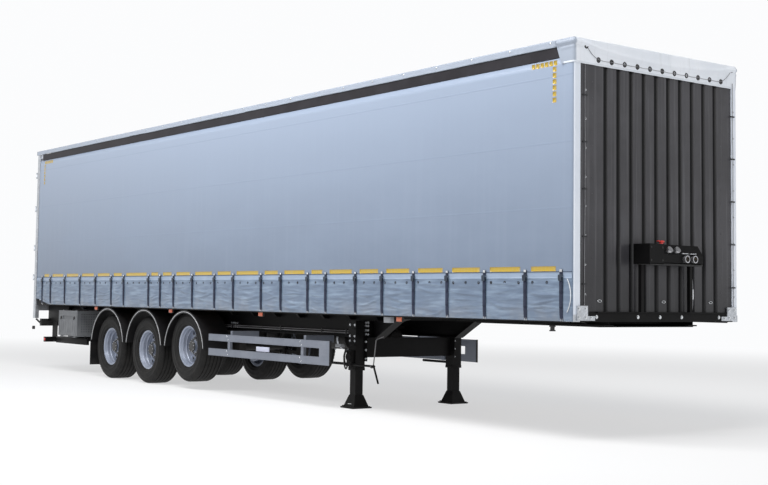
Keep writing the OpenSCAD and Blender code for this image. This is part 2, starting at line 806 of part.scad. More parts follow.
// Small side marker lamps under the rave
module side_markers() {
    xs = [2645, 5290, 7854, body_l - 2802];
    color([0.9, 0.45, 0.2]) at_rear() both_sides() for (x = xs)
        block([x - 50, x + 50], [rave_y - 34, rave_y - 6], [rave_z - 50, rave_z]);
}

// ------------------------------------------------------------------ nodes

main_beams();
cross_members();
side_raves();
deck_floor();
front_wall();
front_posts();
front_beam();
front_corners();
roof_rails();
curtain_rails();
roof_bows();
roof_cover();
roof_front_cap();
side_pillars();
curtain_right();
curtain_left();
curtain_straps();
rear_frame();
door_hinges();
rear_door_right();
rear_door_left();
lock_rods_right();
lock_rods_left();
rear_buffers();
rear_lamp_bar();
underrun_guard();
toolbox();
toolbox_lid();
axles();
suspension();
air_springs();
mudguards();
side_guards();
landing_legs();
leg_rams();
coupler_plate();
kingpin();
air_tanks();
connection_box();
couplings();
side_markers();
tyre(0, -1);  // tyre_rear_right
rim(0, -1);  // rim_rear_right
tyre(0, 1);  // tyre_rear_left
rim(0, 1);  // rim_rear_left
tyre(1, -1);  // tyre_middle_right
rim(1, -1);  // rim_middle_right
tyre(1, 1);  // tyre_middle_left
rim(1, 1);  // rim_middle_left
tyre(2, -1);  // tyre_front_right
rim(2, -1);  // rim_front_right
tyre(2, 1);  // tyre_front_left
rim(2, 1);  // rim_front_left
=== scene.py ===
# %% [markdown]
# # A curtain-side semi trailer
# The trailer's frame, wheels and doors come ready-made, at their real size and place. This file
# gives every one of them a finish and adds what is too small or too soft for that frame: the
# creased curtains, straps, cords, bolts and lamps. Lengths are metres, +X is forwards, +Y left.

# %% Load the frame
import json
import bpy
import numpy as np
from mathutils import Matrix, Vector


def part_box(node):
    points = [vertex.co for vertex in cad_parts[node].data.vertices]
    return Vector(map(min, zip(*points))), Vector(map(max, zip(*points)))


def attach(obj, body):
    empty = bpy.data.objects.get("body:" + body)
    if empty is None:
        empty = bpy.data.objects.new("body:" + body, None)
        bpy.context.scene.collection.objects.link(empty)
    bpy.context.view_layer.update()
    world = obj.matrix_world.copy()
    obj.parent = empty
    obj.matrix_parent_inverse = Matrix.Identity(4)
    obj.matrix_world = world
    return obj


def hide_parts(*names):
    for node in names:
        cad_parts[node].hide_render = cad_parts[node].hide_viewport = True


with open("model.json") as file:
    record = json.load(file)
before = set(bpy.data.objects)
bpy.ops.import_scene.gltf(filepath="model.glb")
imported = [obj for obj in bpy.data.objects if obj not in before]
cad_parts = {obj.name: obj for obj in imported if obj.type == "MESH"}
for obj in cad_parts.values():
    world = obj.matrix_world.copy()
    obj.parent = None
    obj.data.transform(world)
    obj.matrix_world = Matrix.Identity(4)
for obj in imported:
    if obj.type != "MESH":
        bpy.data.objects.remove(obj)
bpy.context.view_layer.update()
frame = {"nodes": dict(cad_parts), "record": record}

# %% [markdown]
# ## Where things are
# Every station along the trailer is counted from the rear face of the body, as a chassis drawing
# does. The boxes of a few ready-made pieces give those reference planes, so that nothing here
# has to know the overall size.

# %% Reference planes
def low(node):
    return np.array(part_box(node)[0])


def high(node):
    return np.array(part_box(node)[1])


REAR = low("rear_frame")[0]
FRONT = high("front_posts")[0]
FLOOR = high("deck_floor")[2]
SIDE = high("curtain_left")[1]
HEM = low("curtain_left")[2]
ROOF = high("rear_frame")[2] + 0.04
print("rear", REAR, "front", FRONT, "floor", FLOOR, "side", SIDE)

# %% [markdown]
# ## Camera
# A long view from ahead of the trailer's right-hand side, a little lower than a person's eyes and
# tipped slightly upwards. The small lens shift keeps the trailer where it stands in the frame.

# %% Camera
VIEW_AZIMUTH = np.radians(53.566)
VIEW_PITCH = np.radians(4.047)
VIEW_ROLL = np.radians(0.856)
VIEW_FROM = np.array([REAR + 22.4015, -10.267, 1.3843])


def camera_axes(azimuth, pitch, roll):
    """Right, up and back directions: turn about Z, tip up, then roll about the line of sight."""
    ahead = np.array([-np.sin(azimuth) * np.cos(pitch), np.cos(azimuth) * np.cos(pitch), np.sin(pitch)])
    right = np.array([np.cos(azimuth), np.sin(azimuth), 0.0])
    up = np.cross(right, ahead)
    return (np.cos(roll) * right + np.sin(roll) * up, np.cos(roll) * up - np.sin(roll) * right, -ahead)


camera = bpy.data.objects.new("camera", bpy.data.cameras.new("camera"))
camera.data.lens = 59.25
camera.data.sensor_width = 36.0
camera.data.shift_x = 0.02604
camera.data.shift_y = -0.04474
camera.data.clip_end = 500.0
matrix = np.eye(4)
matrix[:3, :3] = np.array(camera_axes(VIEW_AZIMUTH, VIEW_PITCH, VIEW_ROLL)).T
matrix[:3, 3] = VIEW_FROM
camera.matrix_world = Matrix(matrix.tolist())
bpy.context.collection.objects.link(camera)
bpy.context.scene.camera = camera
print("camera", np.round(VIEW_FROM, 2), "lens", camera.data.lens)

# %% [markdown]
# ## Helpers that turn arrays into meshes
# Each helper works out all its points as one numpy array and hands it to the mesh in one go.
# A sheet is a grid of points; a tube carries a ring of points along a path; a turned piece
# carries an outline round an axis; and a swarm repeats one small shape at many places.

# %% Mesh from arrays
def make_mesh(name, points, faces, finish=None, body="chassis", smooth=True):
    """One object from an (n, 3) array of points and an (m, k) array or list of faces."""
    data = bpy.data.meshes.new(name)
    data.from_pydata(np.asarray(points, float).reshape(-1, 3).tolist(), [], [list(f) for f in faces])
    data.polygons.foreach_set("use_smooth", np.full(len(data.polygons), smooth))
    data.update()
    piece = bpy.data.objects.new(name, data)
    bpy.context.collection.objects.link(piece)
    if finish is not None:
        data.materials.append(finish)
    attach(piece, body)
    return piece


def make_joined(name, parts, *rest, **named):
    """One object from a list of shapes."""
    return make_mesh(name, *join_parts(parts), *rest, **named)


def grid_faces(rows, cols, wrap_rows=False, wrap_cols=False):
    """Quads that join each point of a rows x cols grid to its neighbours."""
    i = np.arange(rows if wrap_rows else rows - 1)[:, None]
    j = np.arange(cols if wrap_cols else cols - 1)[None, :]
    a, b = i % rows, (i + 1) % rows
    c, d = j % cols, (j + 1) % cols
    quads = np.stack([a * cols + c, a * cols + d, b * cols + d, b * cols + c], axis=-1)
    return quads.reshape(-1, 4)


def join_parts(parts):
    """Stack (points, faces) pairs into one pair, shifting each part's face numbers."""
    points, faces, start = [], [], 0
    for p, f in parts:
        p = np.asarray(p, float).reshape(-1, 3)
        points.append(p)
        faces += [[int(k) + start for k in face] for face in f]
        start += len(p)
    return np.concatenate(points), faces


# %% Tubes, turned pieces and swarms
def tube_shape(path, radius, sides=10):
    """Rings of points square to a path: centre + radius * (cos t * side + sin t * up), ends capped.

    side and up come from the path's direction and a fixed reference that it never lines up with.
    """
    path = np.asarray(path, float)
    ahead = np.gradient(path, axis=0)
    ahead /= np.linalg.norm(ahead, axis=1)[:, None]
    spread = np.ptp(path, axis=0)
    ref = np.eye(3)[int(np.argmin(spread))]
    side = np.cross(ahead, ref)
    side /= np.maximum(np.linalg.norm(side, axis=1)[:, None], 1e-9)
    up = np.cross(side, ahead)
    t = np.linspace(0, 2 * np.pi, sides, endpoint=False)
    r = np.broadcast_to(np.asarray(radius, float), (len(path),))[:, None, None]
    rings = path[:, None] + r * (np.cos(t)[None, :, None] * side[:, None] + np.sin(t)[None, :, None]
            * up[:, None])
    faces = grid_faces(len(path), sides, wrap_cols=True).tolist()
    last = (len(path) - 1) * sides
    faces += [list(range(sides)), list(range(last + sides - 1, last - 1, -1))]
    return rings.reshape(-1, 3), [f[::-1] for f in faces]


def turned_shape(outline, centre, axis="y", steps=48, sign=1.0):
    """Carry an outline of (radius, along) points round an axis: the point at angle t is the
    centre + radius * (cos t, sin t) across the axis + sign * along on it. The outline is closed."""
    outline = np.asarray(outline, float)
    t = np.linspace(0, 2 * np.pi, steps, endpoint=False)
    r, a = outline[:, 0][:, None], sign * outline[:, 1][:, None] + 0 * t
    c, s = r * np.cos(t), r * np.sin(t)
    order = {"x": (a, c, s), "y": (s, a, c), "z": (c, s, a)}[axis]
    points = np.stack(order, axis=-1) + np.asarray(centre, float)
    faces = grid_faces(len(outline), steps, wrap_rows=True, wrap_cols=True)
    return points.reshape(-1, 3), (faces if sign > 0 else faces[:, ::-1]).tolist()


def box_shape(lo, hi):
    """A block between two corners."""
    lo, hi = np.asarray(lo, float), np.asarray(hi, float)
    pick = np.array([[0, 0, 0], [1, 0, 0], [1, 1, 0], [0, 1, 0], [0, 0, 1], [1, 0, 1], [1, 1, 1],
                     [0, 1, 1]])
    faces = [[0, 3, 2, 1], [4, 5, 6, 7], [0, 1, 5, 4], [1, 2, 6, 5], [2, 3, 7, 6], [3, 0, 4, 7]]
    return lo + pick * (hi - lo), faces


def swarm(shape, places):
    """One small shape copied to every place, as a single (points, faces) pair."""
    points, faces = np.asarray(shape[0], float), shape[1]
    places = np.asarray(places, float).reshape(-1, 3)
    n = len(points)
    moved = (points[None] + places[:, None]).reshape(-1, 3)
    return moved, [[int(k) + n * i for k in f] for i in range(len(places)) for f in faces]


def mirrored(shape):
    """The shape and its mirror image across the middle of the trailer, as one pair."""
    points, faces = np.asarray(shape[0], float).reshape(-1, 3), [list(f) for f in shape[1]]
    return join_parts([(points, faces), (points * [1, -1, 1], [f[::-1] for f in faces])])


def finish_edges(piece, width=0.002, segments=2, angle=0.6):
    """A small bevel on the piece's sharp edges, so that they catch the light."""
    bevel = piece.modifiers.new("edge", "BEVEL")
    bevel.width = width
    bevel.segments = segments
    bevel.limit_method = "ANGLE"
    bevel.angle_limit = angle
    return piece


def sharp_by_angle(piece, angle=0.6):
    """Smooth shading that still breaks at edges sharper than the angle."""
    piece.data.set_sharp_from_angle(angle=angle)
    return piece


print("helpers ready")

# %% [markdown]
# ## Finishes
# One small builder covers most surfaces: two close tones mixed by a soft noise, a second finer
# noise in the roughness, road dust that gathers towards the ground, and a bump made from the
# same noises. Each finish then adds only what is its own, such as a weave or zinc crystals.

# %% Node helpers
def new_finish(name):
    """An empty material with its shader and Object coordinates, as (tree, shader, coordinates)."""
    material = bpy.data.materials.new(name)
    material.use_nodes = True
    tree = material.node_tree
    shader = tree.nodes["Principled BSDF"]
    place = tree.nodes.new("ShaderNodeTexCoord")
    return material, tree, shader, place.outputs["Object"]


def new_node(tree, kind, where, **values):
    """A shader node that reads the coordinates, with its named inputs set."""
    node = tree.nodes.new("ShaderNode" + kind)
    for name, value in values.items():
        node.inputs[name].default_value = value
    tree.links.new(where, node.inputs["Vector"])
    return node


def noise(tree, where, scale, detail=3.0, rough=0.5):
    """Cloudy noise from 0 to 1, with the grain of the given scale."""
    return new_node(tree, "TexNoise", where, Scale=scale, Detail=detail, Roughness=rough).outputs["Fac"]


def stretch(tree, where, scale, shift=(0, 0, 0)):
    """The coordinates times a scale, one factor for each axis."""
    return new_node(tree, "Mapping", where, Scale=scale, Location=shift).outputs["Vector"]


def ramp(tree, value, lo, hi, out_lo=0.0, out_hi=1.0, smooth=True):
    """Map lo..hi to out_lo..out_hi, held at the ends."""
    node = tree.nodes.new("ShaderNodeMapRange")
    node.interpolation_type = "SMOOTHSTEP" if smooth else "LINEAR"
    for key, v in zip(("From Min", "From Max", "To Min", "To Max"), (lo, hi, out_lo, out_hi)):
        node.inputs[key].default_value = v
    tree.links.new(value, node.inputs["Value"])
    return node.outputs["Result"]


def maths(tree, kind, a, b=None, c=None):
    node = tree.nodes.new("ShaderNodeMath")
    node.operation = kind
    for socket, v in zip(node.inputs, (a, b, c)):
        if v is None:
            continue
        if isinstance(v, (int, float)):
            socket.default_value = v
        else:
            tree.links.new(v, socket)
    return node.outputs[0]


def blend_tones(tree, fac, one, two):
    """one where fac is 0, two where it is 1; each is a colour or another node's output."""
    node = tree.nodes.new("ShaderNodeMix")
    node.data_type = "RGBA"
    if isinstance(fac, (int, float)):
        node.inputs[0].default_value = fac
    else:
        tree.links.new(fac, node.inputs[0])
    for socket, v in ((node.inputs[6], one), (node.inputs[7], two)):
        if isinstance(v, (tuple, list)):
            socket.default_value = (*v[:3], 1.0)
        else:
            tree.links.new(v, socket)
    return node.outputs[2]


def axes_of(tree, where):
    node = tree.nodes.new("ShaderNodeSeparateXYZ")
    tree.links.new(where, node.inputs[0])
    return node.outputs


def add_bump(tree, shader, height, strength=0.3, depth=0.001, previous=None):
    node = tree.nodes.new("ShaderNodeBump")
    node.inputs["Strength"].default_value = strength
    node.inputs["Distance"].default_value = depth
    tree.links.new(height, node.inputs["Height"])
    if previous is not None:
        tree.links.new(previous, node.inputs["Normal"])
    tree.links.new(node.outputs["Normal"], shader.inputs["Normal"])
    return node.outputs["Normal"]


DUST = (0.23, 0.21, 0.19)


# %% The general finish
def finish(name, tone, second=None, rough=0.5, spread=0.12, metal=0.0, mottle=3.0, grain=120.0,
           depth=0.0003, dust=0.0, dust_top=1.2, coat=0.0, shine=0.5, extra=None):
    """Two tones mixed by noise, dust below dust_top, and a fine bump."""
    material, tree, shader, where = new_finish(name)
    second = second or tuple(min(1.0, 1.35 * c + 0.004) for c in tone)
    soft = noise(tree, where, mottle, 5.0, 0.6)
    fine = noise(tree, where, grain, 2.0)
    colour = blend_tones(tree, ramp(tree, soft, 0.32, 0.7), tone, second)
    if dust > 0:
        up = ramp(tree, axes_of(tree, where)[2], 0.0, dust_top, 1.0, 0.0, smooth=False)
        patch = ramp(tree, noise(tree, where, 2.3 * mottle, 6.0, 0.7), 0.3, 0.75)
        amount = maths(tree, "MULTIPLY", maths(tree, "MULTIPLY", up, patch), dust)
        colour = blend_tones(tree, amount, colour, DUST)
    tree.links.new(colour, shader.inputs["Base Color"])
    level = maths(tree, "MULTIPLY_ADD", soft, spread, rough - spread / 2)
    tree.links.new(level, shader.inputs["Roughness"])
    shader.inputs["Metallic"].default_value = metal
    shader.inputs["Coat Weight"].default_value = coat
    shader.inputs["Coat Roughness"].default_value = 0.15
    shader.inputs["Specular IOR Level"].default_value = shine
    add_bump(tree, shader, fine, 0.35, depth)
    if extra is not None:
        extra(tree, shader, where, colour)
    return material


def zinc_crystals(tree, shader, where, colour):
    """Hot-dip zinc freezes into crystals: each cell of a Voronoi pattern has its own grey."""
    cells = new_node(tree, "TexVoronoi", where, Scale=70.0)
    grey = ramp(tree, axes_of(tree, cells.outputs["Color"])[0], 0.0, 1.0, 0.0, 0.45)
    tree.links.new(blend_tones(tree, grey, colour, (0.33, 0.35, 0.38)), shader.inputs["Base Color"])


def wall_shading(tree, shader, where, colour):
    """Painted shade: the pressed grooves are painted near-black, standing in for the shade inside them;
    long pale rain marks run down the faces, and the colour darkens towards the foot of the wall.
    """
    x = axes_of(tree, where)[0]
    # painted shade mask: 0 deep in a groove, 1 on the outer face
    face = ramp(tree, x, FRONT - 0.030, FRONT - 0.013)
    streak = noise(tree, stretch(tree, where, (1.0, 16.0, 0.35)), 1.6, 4.0, 0.6)
    marked = blend_tones(tree, ramp(tree, streak, 0.50, 0.72, 0.0, 0.55), colour, (0.105, 0.104, 0.114))
    foot = ramp(tree, axes_of(tree, where)[2], 1.25, 2.1, 0.55, 0.0)
    marked = blend_tones(tree, foot, marked, (0.008, 0.008, 0.009))
    # the grooves take the near-black painted shade, the faces keep their colour
    tree.links.new(blend_tones(tree, face, (0.004, 0.004, 0.005), marked), shader.inputs["Base Color"])


def grease_and_painted_shade(tree, shader, where, colour):
    """Dark grease and painted shade: bare steel below the floor, such as the kingpin, is painted dark for
    its grease and for the shade under the trailer.
    """
    height = axes_of(tree, where)[2]
    # grease and painted shade: 90 % dark below 1.15 m, none above 1.20 m
    grease_and_shade_mask = ramp(tree, height, 1.15, 1.20, 0.9, 0.0)
    tree.links.new(blend_tones(tree, grease_and_shade_mask, colour, (0.020, 0.018, 0.016)), shader.inputs["Base Color"])


def drawn_lines(axis_scale):
    """Fine lines left along an extrusion or a brushed sheet."""
    def add(tree, shader, where, colour):
        lines = noise(tree, stretch(tree, where, axis_scale), 60.0, 3.0, 0.6)
        tree.links.new(ramp(tree, lines, 0.3, 0.7, 0.28, 0.5), shader.inputs["Roughness"])
        add_bump(tree, shader, lines, 0.25, 0.0002)
    return add


FINISHES = {
    "chassis_black": finish("chassis_black", (0.0026, 0.0025, 0.0028), (0.006, 0.0058, 0.0062), 0.45, 0.2,
                            dust=0.02, mottle=2.0, shine=0.10),
    "rave_grey": finish("rave_grey", (0.007, 0.007, 0.008), rough=0.5, dust=0.04, shine=0.14),
    "floor_wood": finish("floor_wood", (0.10, 0.05, 0.028), (0.17, 0.09, 0.05), 0.45, 0.2, mottle=8.0),
    "wall_charcoal": finish("wall_charcoal", (0.036, 0.035, 0.040), (0.056, 0.055, 0.062), 0.36, 0.16,
                            mottle=1.6, depth=0.0002, coat=0.1, shine=0.3, extra=wall_shading),
    "post_white": finish("post_white", (0.67, 0.72, 0.80), (0.73, 0.77, 0.84), 0.32, 0.1, coat=0.4),
    "galvanised": finish("galvanised", (0.48, 0.50, 0.53), rough=0.42, spread=0.2, metal=0.85,
                         mottle=9.0, extra=zinc_crystals),
    "rail_aluminium": finish("rail_aluminium", (0.60, 0.62, 0.66), metal=0.9, rough=0.4,
                             extra=drawn_lines((0.02, 3.0, 3.0))),
    "rail_dark": finish("rail_dark", (0.012, 0.0105, 0.014), (0.024, 0.022, 0.027), 0.5, 0.2, shine=0.25),
    "roof_fabric": finish("roof_fabric", (0.72, 0.77, 0.85), (0.80, 0.84, 0.9), 0.5),
    "curtain_fabric": finish("curtain_fabric", (0.33, 0.42, 0.58), rough=0.45),
    "strap_webbing": finish("strap_webbing", (0.003, 0.006, 0.013), (0.007, 0.012, 0.024), 0.7, shine=0.2),
    "door_aluminium": finish("door_aluminium", (0.66, 0.70, 0.76), (0.72, 0.75, 0.8), 0.34, 0.1, coat=0.3),
    "buffer_rubber": finish("buffer_rubber", (0.014, 0.014, 0.015), (0.03, 0.03, 0.03), 0.75, dust=0.3),
    "lamp_carrier": finish("lamp_carrier", (0.008, 0.008, 0.009), rough=0.5, dust=0.1),
    "box_plastic": finish("box_plastic", (0.105, 0.112, 0.122), (0.145, 0.153, 0.164), 0.5, 0.15,
                          mottle=6.0, grain=400.0, depth=0.0005, dust=0.2),
    "axle_black": finish("axle_black", (0.006, 0.006, 0.0065), (0.014, 0.013, 0.012), 0.6, 0.2, dust=0.10,
                         shine=0.2),
    "guard_plastic": finish("guard_plastic", (0.006, 0.006, 0.007), (0.012, 0.012, 0.013), 0.42, 0.15,
                            dust=0.05, shine=0.25),
    "guard_aluminium": finish("guard_aluminium", (0.185, 0.205, 0.25), (0.225, 0.245, 0.29), metal=0.6,
                              rough=0.4, dust=0.12, extra=drawn_lines((0.03, 3.0, 3.0))),
    # bare steel below the floor is painted dark, for grease and painted shade
    "bare_steel": finish("bare_steel", (0.45, 0.45, 0.47), metal=0.95, rough=0.35, mottle=20.0,
                         extra=grease_and_painted_shade),
    "lamp_amber": finish("lamp_amber", (0.50, 0.095, 0.035), (0.60, 0.14, 0.05), 0.2, coat=0.6),
    "tyre": finish("tyre", (0.0045, 0.0045, 0.005), (0.009, 0.0088, 0.0086), 0.66, 0.18, mottle=5.0,
                   grain=260.0, depth=0.0006, dust=0.06, dust_top=1.1, shine=0.22),
    "rim_silver": finish("rim_silver", (0.27, 0.305, 0.385), (0.35, 0.385, 0.47), 0.42, 0.12, metal=0.35,
                         coat=0.1, mottle=6.0, dust=0.10),
}
print(len(FINISHES), "finishes")

# %% [markdown]
# ## Dress the ready-made pieces
# Each node of the frame names the kind of surface that it has, so a loop gives it the finish of
# that name.

# %% Give every node its finish
slot_of = {row["node"]: row["material_slot"] for row in frame["record"]["subparts"]}
for node, part in frame["nodes"].items():
    part.data.materials.clear()
    part.data.materials.append(FINISHES[slot_of[node]])
print("dressed", len(slot_of), "nodes")

# %% [markdown]
# ## Stage
# A wide pale floor that fades into an equally pale surround, one broad soft light overhead for
# the shadow that pools under the trailer, and a weaker one from the camera's side.

# %% Floor and light
def pale_floor(radius=90.0):
    """A disc that fades from a lit floor into the surround's own colour with distance."""
    t = np.linspace(0, 2 * np.pi, 96, endpoint=False)
    points = np.stack([radius * np.cos(t), radius * np.sin(t), 0 * t], axis=-1)
    data = bpy.data.meshes.new("floor")
    data.from_pydata(points.tolist(), [], [list(range(96))])
    floor = bpy.data.objects.new("floor", data)
    bpy.context.collection.objects.link(floor)
    material, tree, shader, where = new_finish("floor_paper")
    shader.inputs["Base Color"].default_value = (0.86, 0.86, 0.86, 1)
    shader.inputs["Roughness"].default_value = 0.9
    far = tree.nodes.new("ShaderNodeEmission")
    far.inputs["Color"].default_value = (*SURROUND, 1)
    length = tree.nodes.new("ShaderNodeVectorMath")
    length.operation = "LENGTH"
    tree.links.new(where, length.inputs[0])
    mix = tree.nodes.new("ShaderNodeMixShader")
    tree.links.new(ramp(tree, length.outputs["Value"], 9.0, 24.0, 0.55, 1.0), mix.inputs[0])
    tree.links.new(shader.outputs[0], mix.inputs[1])
    tree.links.new(far.outputs[0], mix.inputs[2])
    tree.links.new(mix.outputs[0], tree.nodes["Material Output"].inputs["Surface"])
    data.materials.append(material)
    return floor


def soft_light(name, place, aim, size, power):
    light = bpy.data.objects.new(name, bpy.data.lights.new(name, "AREA"))
    light.data.shape = "RECTANGLE"
    light.data.size, light.data.size_y = size
    light.data.energy = power
    back = np.asarray(place, float) - np.asarray(aim, float)
    back /= np.linalg.norm(back)
    right = np.cross([0, 1, 0] if abs(back[2]) > 0.9 else [0, 0, 1], back)
    right /= np.linalg.norm(right)
    m = np.eye(4)
    m[:3, :3] = np.array([right, np.cross(back, right), back]).T
    m[:3, 3] = place
    light.matrix_world = Matrix(m.tolist())
    bpy.context.collection.objects.link(light)
    return light


SURROUND = (0.97, 0.975, 0.985)
pale_floor()
soft_light("key", (3.0, -6.5, 13.0), (0.0, -0.8, 0.6), (16.0, 4.5), 2300)
soft_light("side_fill", (12.0, -15.0, 7.0), (1.0, -1.0, 2.4), (9.0, 5.0), 200)
world = bpy.data.worlds.new("surround")
world.use_nodes = True
sky = world.node_tree
direction = sky.nodes.new("ShaderNodeTexCoord").outputs["Generated"]
height = axes_of(sky, direction)[2]
shade = maths(sky, "MULTIPLY", ramp(sky, height, 0.33, 0.62, 1.0, 0.22),
              ramp(sky, height, -0.35, -0.08, 0.3, 1.0))
sky.links.new(blend_tones(sky, shade, (0.0, 0.0, 0.0), SURROUND), sky.nodes["Background"].inputs["Color"])
bpy.context.scene.world = world
bpy.context.scene.view_settings.view_transform = "Standard"
print("stage set")

# %% [markdown]
# ## Curtains
# Each curtain is one coated sheet pulled tight between its rail and the floor frame. Above the
# buckles it is almost flat. Below them every strap presses the sheet in, the cloth swells out
# between two straps, and short creases sag across each bay.

# %% Stations of the straps
strap_points = np.array([v.co[:] for v in frame["nodes"]["curtain_straps"].data.vertices])
strap_xs = np.unique(np.round(strap_points[:, 0], 3))
STRAPS = np.array([g.mean() for g in np.split(strap_xs, np.where(np.diff(strap_xs) > 0.1)[0] + 1)])
STRAP_TOP = high("curtain_straps")[2]
print(len(STRAPS), "straps at", np.round(STRAPS - REAR, 2).tolist())


def smooth_step(x, a, b):
    t = np.clip((x - a) / (b - a), 0, 1)
    return t * t * (3 - 2 * t)


def smooth_noise(x, z, waves=9, scale=1.0, seed=1):
    """A sum of sine waves in random directions, about -1 to 1."""
    r = np.random.default_rng(seed)
    total = 0 * x
    for _ in range(waves):
        angle, phase = r.uniform(0, 2 * np.pi, 2)
        wave = scale * r.uniform(0.6, 2.2)
        total = total + np.sin(wave * (np.cos(angle) * x + np.sin(angle) * z) + phase)
    return total / np.sqrt(waves) * 0.7


def curtain_depth(x, z, seed):
    """How far the cloth stands out from its flat place, in metres, at x along and z up.

    Upper part: a billow of 3 mm. Skirt: for u from 0 to 1 across a bay, 4.5 mm * sin(pi u) swell,
    seven sagging creases whose height is z0 + sag * (2u - 1)^2, folds that fan out from each
    buckle, and a 3 mm press line under each strap.
    """
    r = np.random.default_rng(seed)
    ends = np.concatenate([[LEFT_END], STRAPS, [RIGHT_END]])
    bay = np.clip(np.searchsorted(ends, x) - 1, 0, len(ends) - 2)
    wide = ends[bay + 1] - ends[bay]
    u = (x - ends[bay]) / wide
    skirt = 1 - smooth_step(z, 1.585, 1.655)
    low_part = 1 - smooth_step(z, 1.24, 1.34)
    bay_size = r.uniform(0.7, 1.3, len(ends))[bay]
    swell = 0.0045 * bay_size * np.sin(np.pi * u) * np.sin(np.pi * np.clip((z - 1.17) / 0.46, 0, 1)) ** 0.7
    depth = 0.0026 * smooth_noise(x, z, 9, 1.6, seed) * (1 - skirt) * smooth_step(-z, -3.79, -3.6)
    depth = depth + skirt * swell
    for k in range(7):
        z0 = 1.205 + 0.054 * k + r.uniform(-0.020, 0.020, len(ends))[bay]
        sag = r.uniform(-0.012, 0.045, len(ends))[bay] * (1 if k < 5 else 0.4)
        tilt = r.uniform(-0.09, 0.09, len(ends))[bay]
        size = 0.0105 * r.uniform(0.15, 1.25, len(ends))[bay] * (1.0 if k < 5 else 0.6)
        thick = r.uniform(0.009, 0.019, len(ends))[bay]
        wander = 0.008 * np.sin(7 * u + r.uniform(0, 6, len(ends))[bay])
        line = z0 + sag * (2 * u - 1) ** 2 + tilt * (u - 0.5) + wander
        fade = 0.35 + 0.65 * np.sin(np.pi * np.clip(u * r.uniform(0.8, 1.25, len(ends))[bay], 0, 1)) ** 2
        ridge = np.exp(-((z - line) / thick) ** 2) - 0.35 * np.exp(-((z - line + 1.6 * thick) / thick) ** 2)
        depth = depth + skirt * size * ridge * fade * np.sin(np.pi * u) ** 0.25
    for side, edge in ((1, ends[bay]), (-1, ends[bay + 1])):
        away = np.maximum(side * (x - edge), 1e-4)
        slope = (1.60 - z) / away
        fan = np.sin(2.6 * np.arctan(slope) * 3 + r.uniform(0, 6, len(ends))[bay])
        depth = depth + skirt * 0.0034 * fan * np.exp(-(away / 0.20) ** 2) * (1 - np.exp(-away / 0.03))
    near = np.abs(x[..., None] - STRAPS).min(-1)
    press = np.exp(-(near / 0.034) ** 2)
    depth = depth * (1 - 0.80 * press * skirt) - 0.003 * press * skirt
    depth = np.clip(depth, -0.004, 0.019)
    depth = depth - 0.006 * low_part * smooth_step(-z, -1.25, -1.18)
    corner = smooth_step(x, FRONT - 0.17, FRONT - 0.10)
    return depth * (1 - corner) + 0.0075 * corner - 0.004 * smooth_step(x, FRONT - 0.024, FRONT - 0.008)


LEFT_END, RIGHT_END = low("curtain_right")[0] + 0.004, FRONT - 0.010
CURTAIN_TOP = high("curtain_right")[2]


# %% Two curtain sheets
def curtain_rows():
    """Heights of the rows of points: 13 mm apart in the skirt, 70 mm above it."""
    return np.concatenate([np.linspace(HEM, 1.69, 70), np.linspace(1.69, CURTAIN_TOP, 27)[1:]])


def curtain_sheet(name, side, seed, columns=460):
    """A grid in x and z with y = side * (middle of the slab + depth), about 1 mm thick."""
    x, z = np.meshgrid(np.linspace(LEFT_END, RIGHT_END, columns), curtain_rows(), indexing="ij")
    pulled = smooth_step(-(x - REAR), -0.75, -0.12) * smooth_step(-z, -1.62, -1.2)
    z = z + 0.10 * pulled * (1.62 - z) / 0.44
    y = side * (SIDE - 0.0055 + curtain_depth(x, z, seed))
    faces = grid_faces(*x.shape)
    sheet = make_mesh(name, np.stack([x, y, z], -1), faces if side < 0 else faces[:, ::-1],
                      CURTAIN)
    thick = sheet.modifiers.new("cloth", "SOLIDIFY")
    thick.thickness = 0.0011
    thick.offset = -1.0
    return sheet


SEAM_LEVELS = (2.304, 2.96, 3.63)  # welded seams between the panels, metres above the ground
THREADS = 210.0  # fineness of the weave


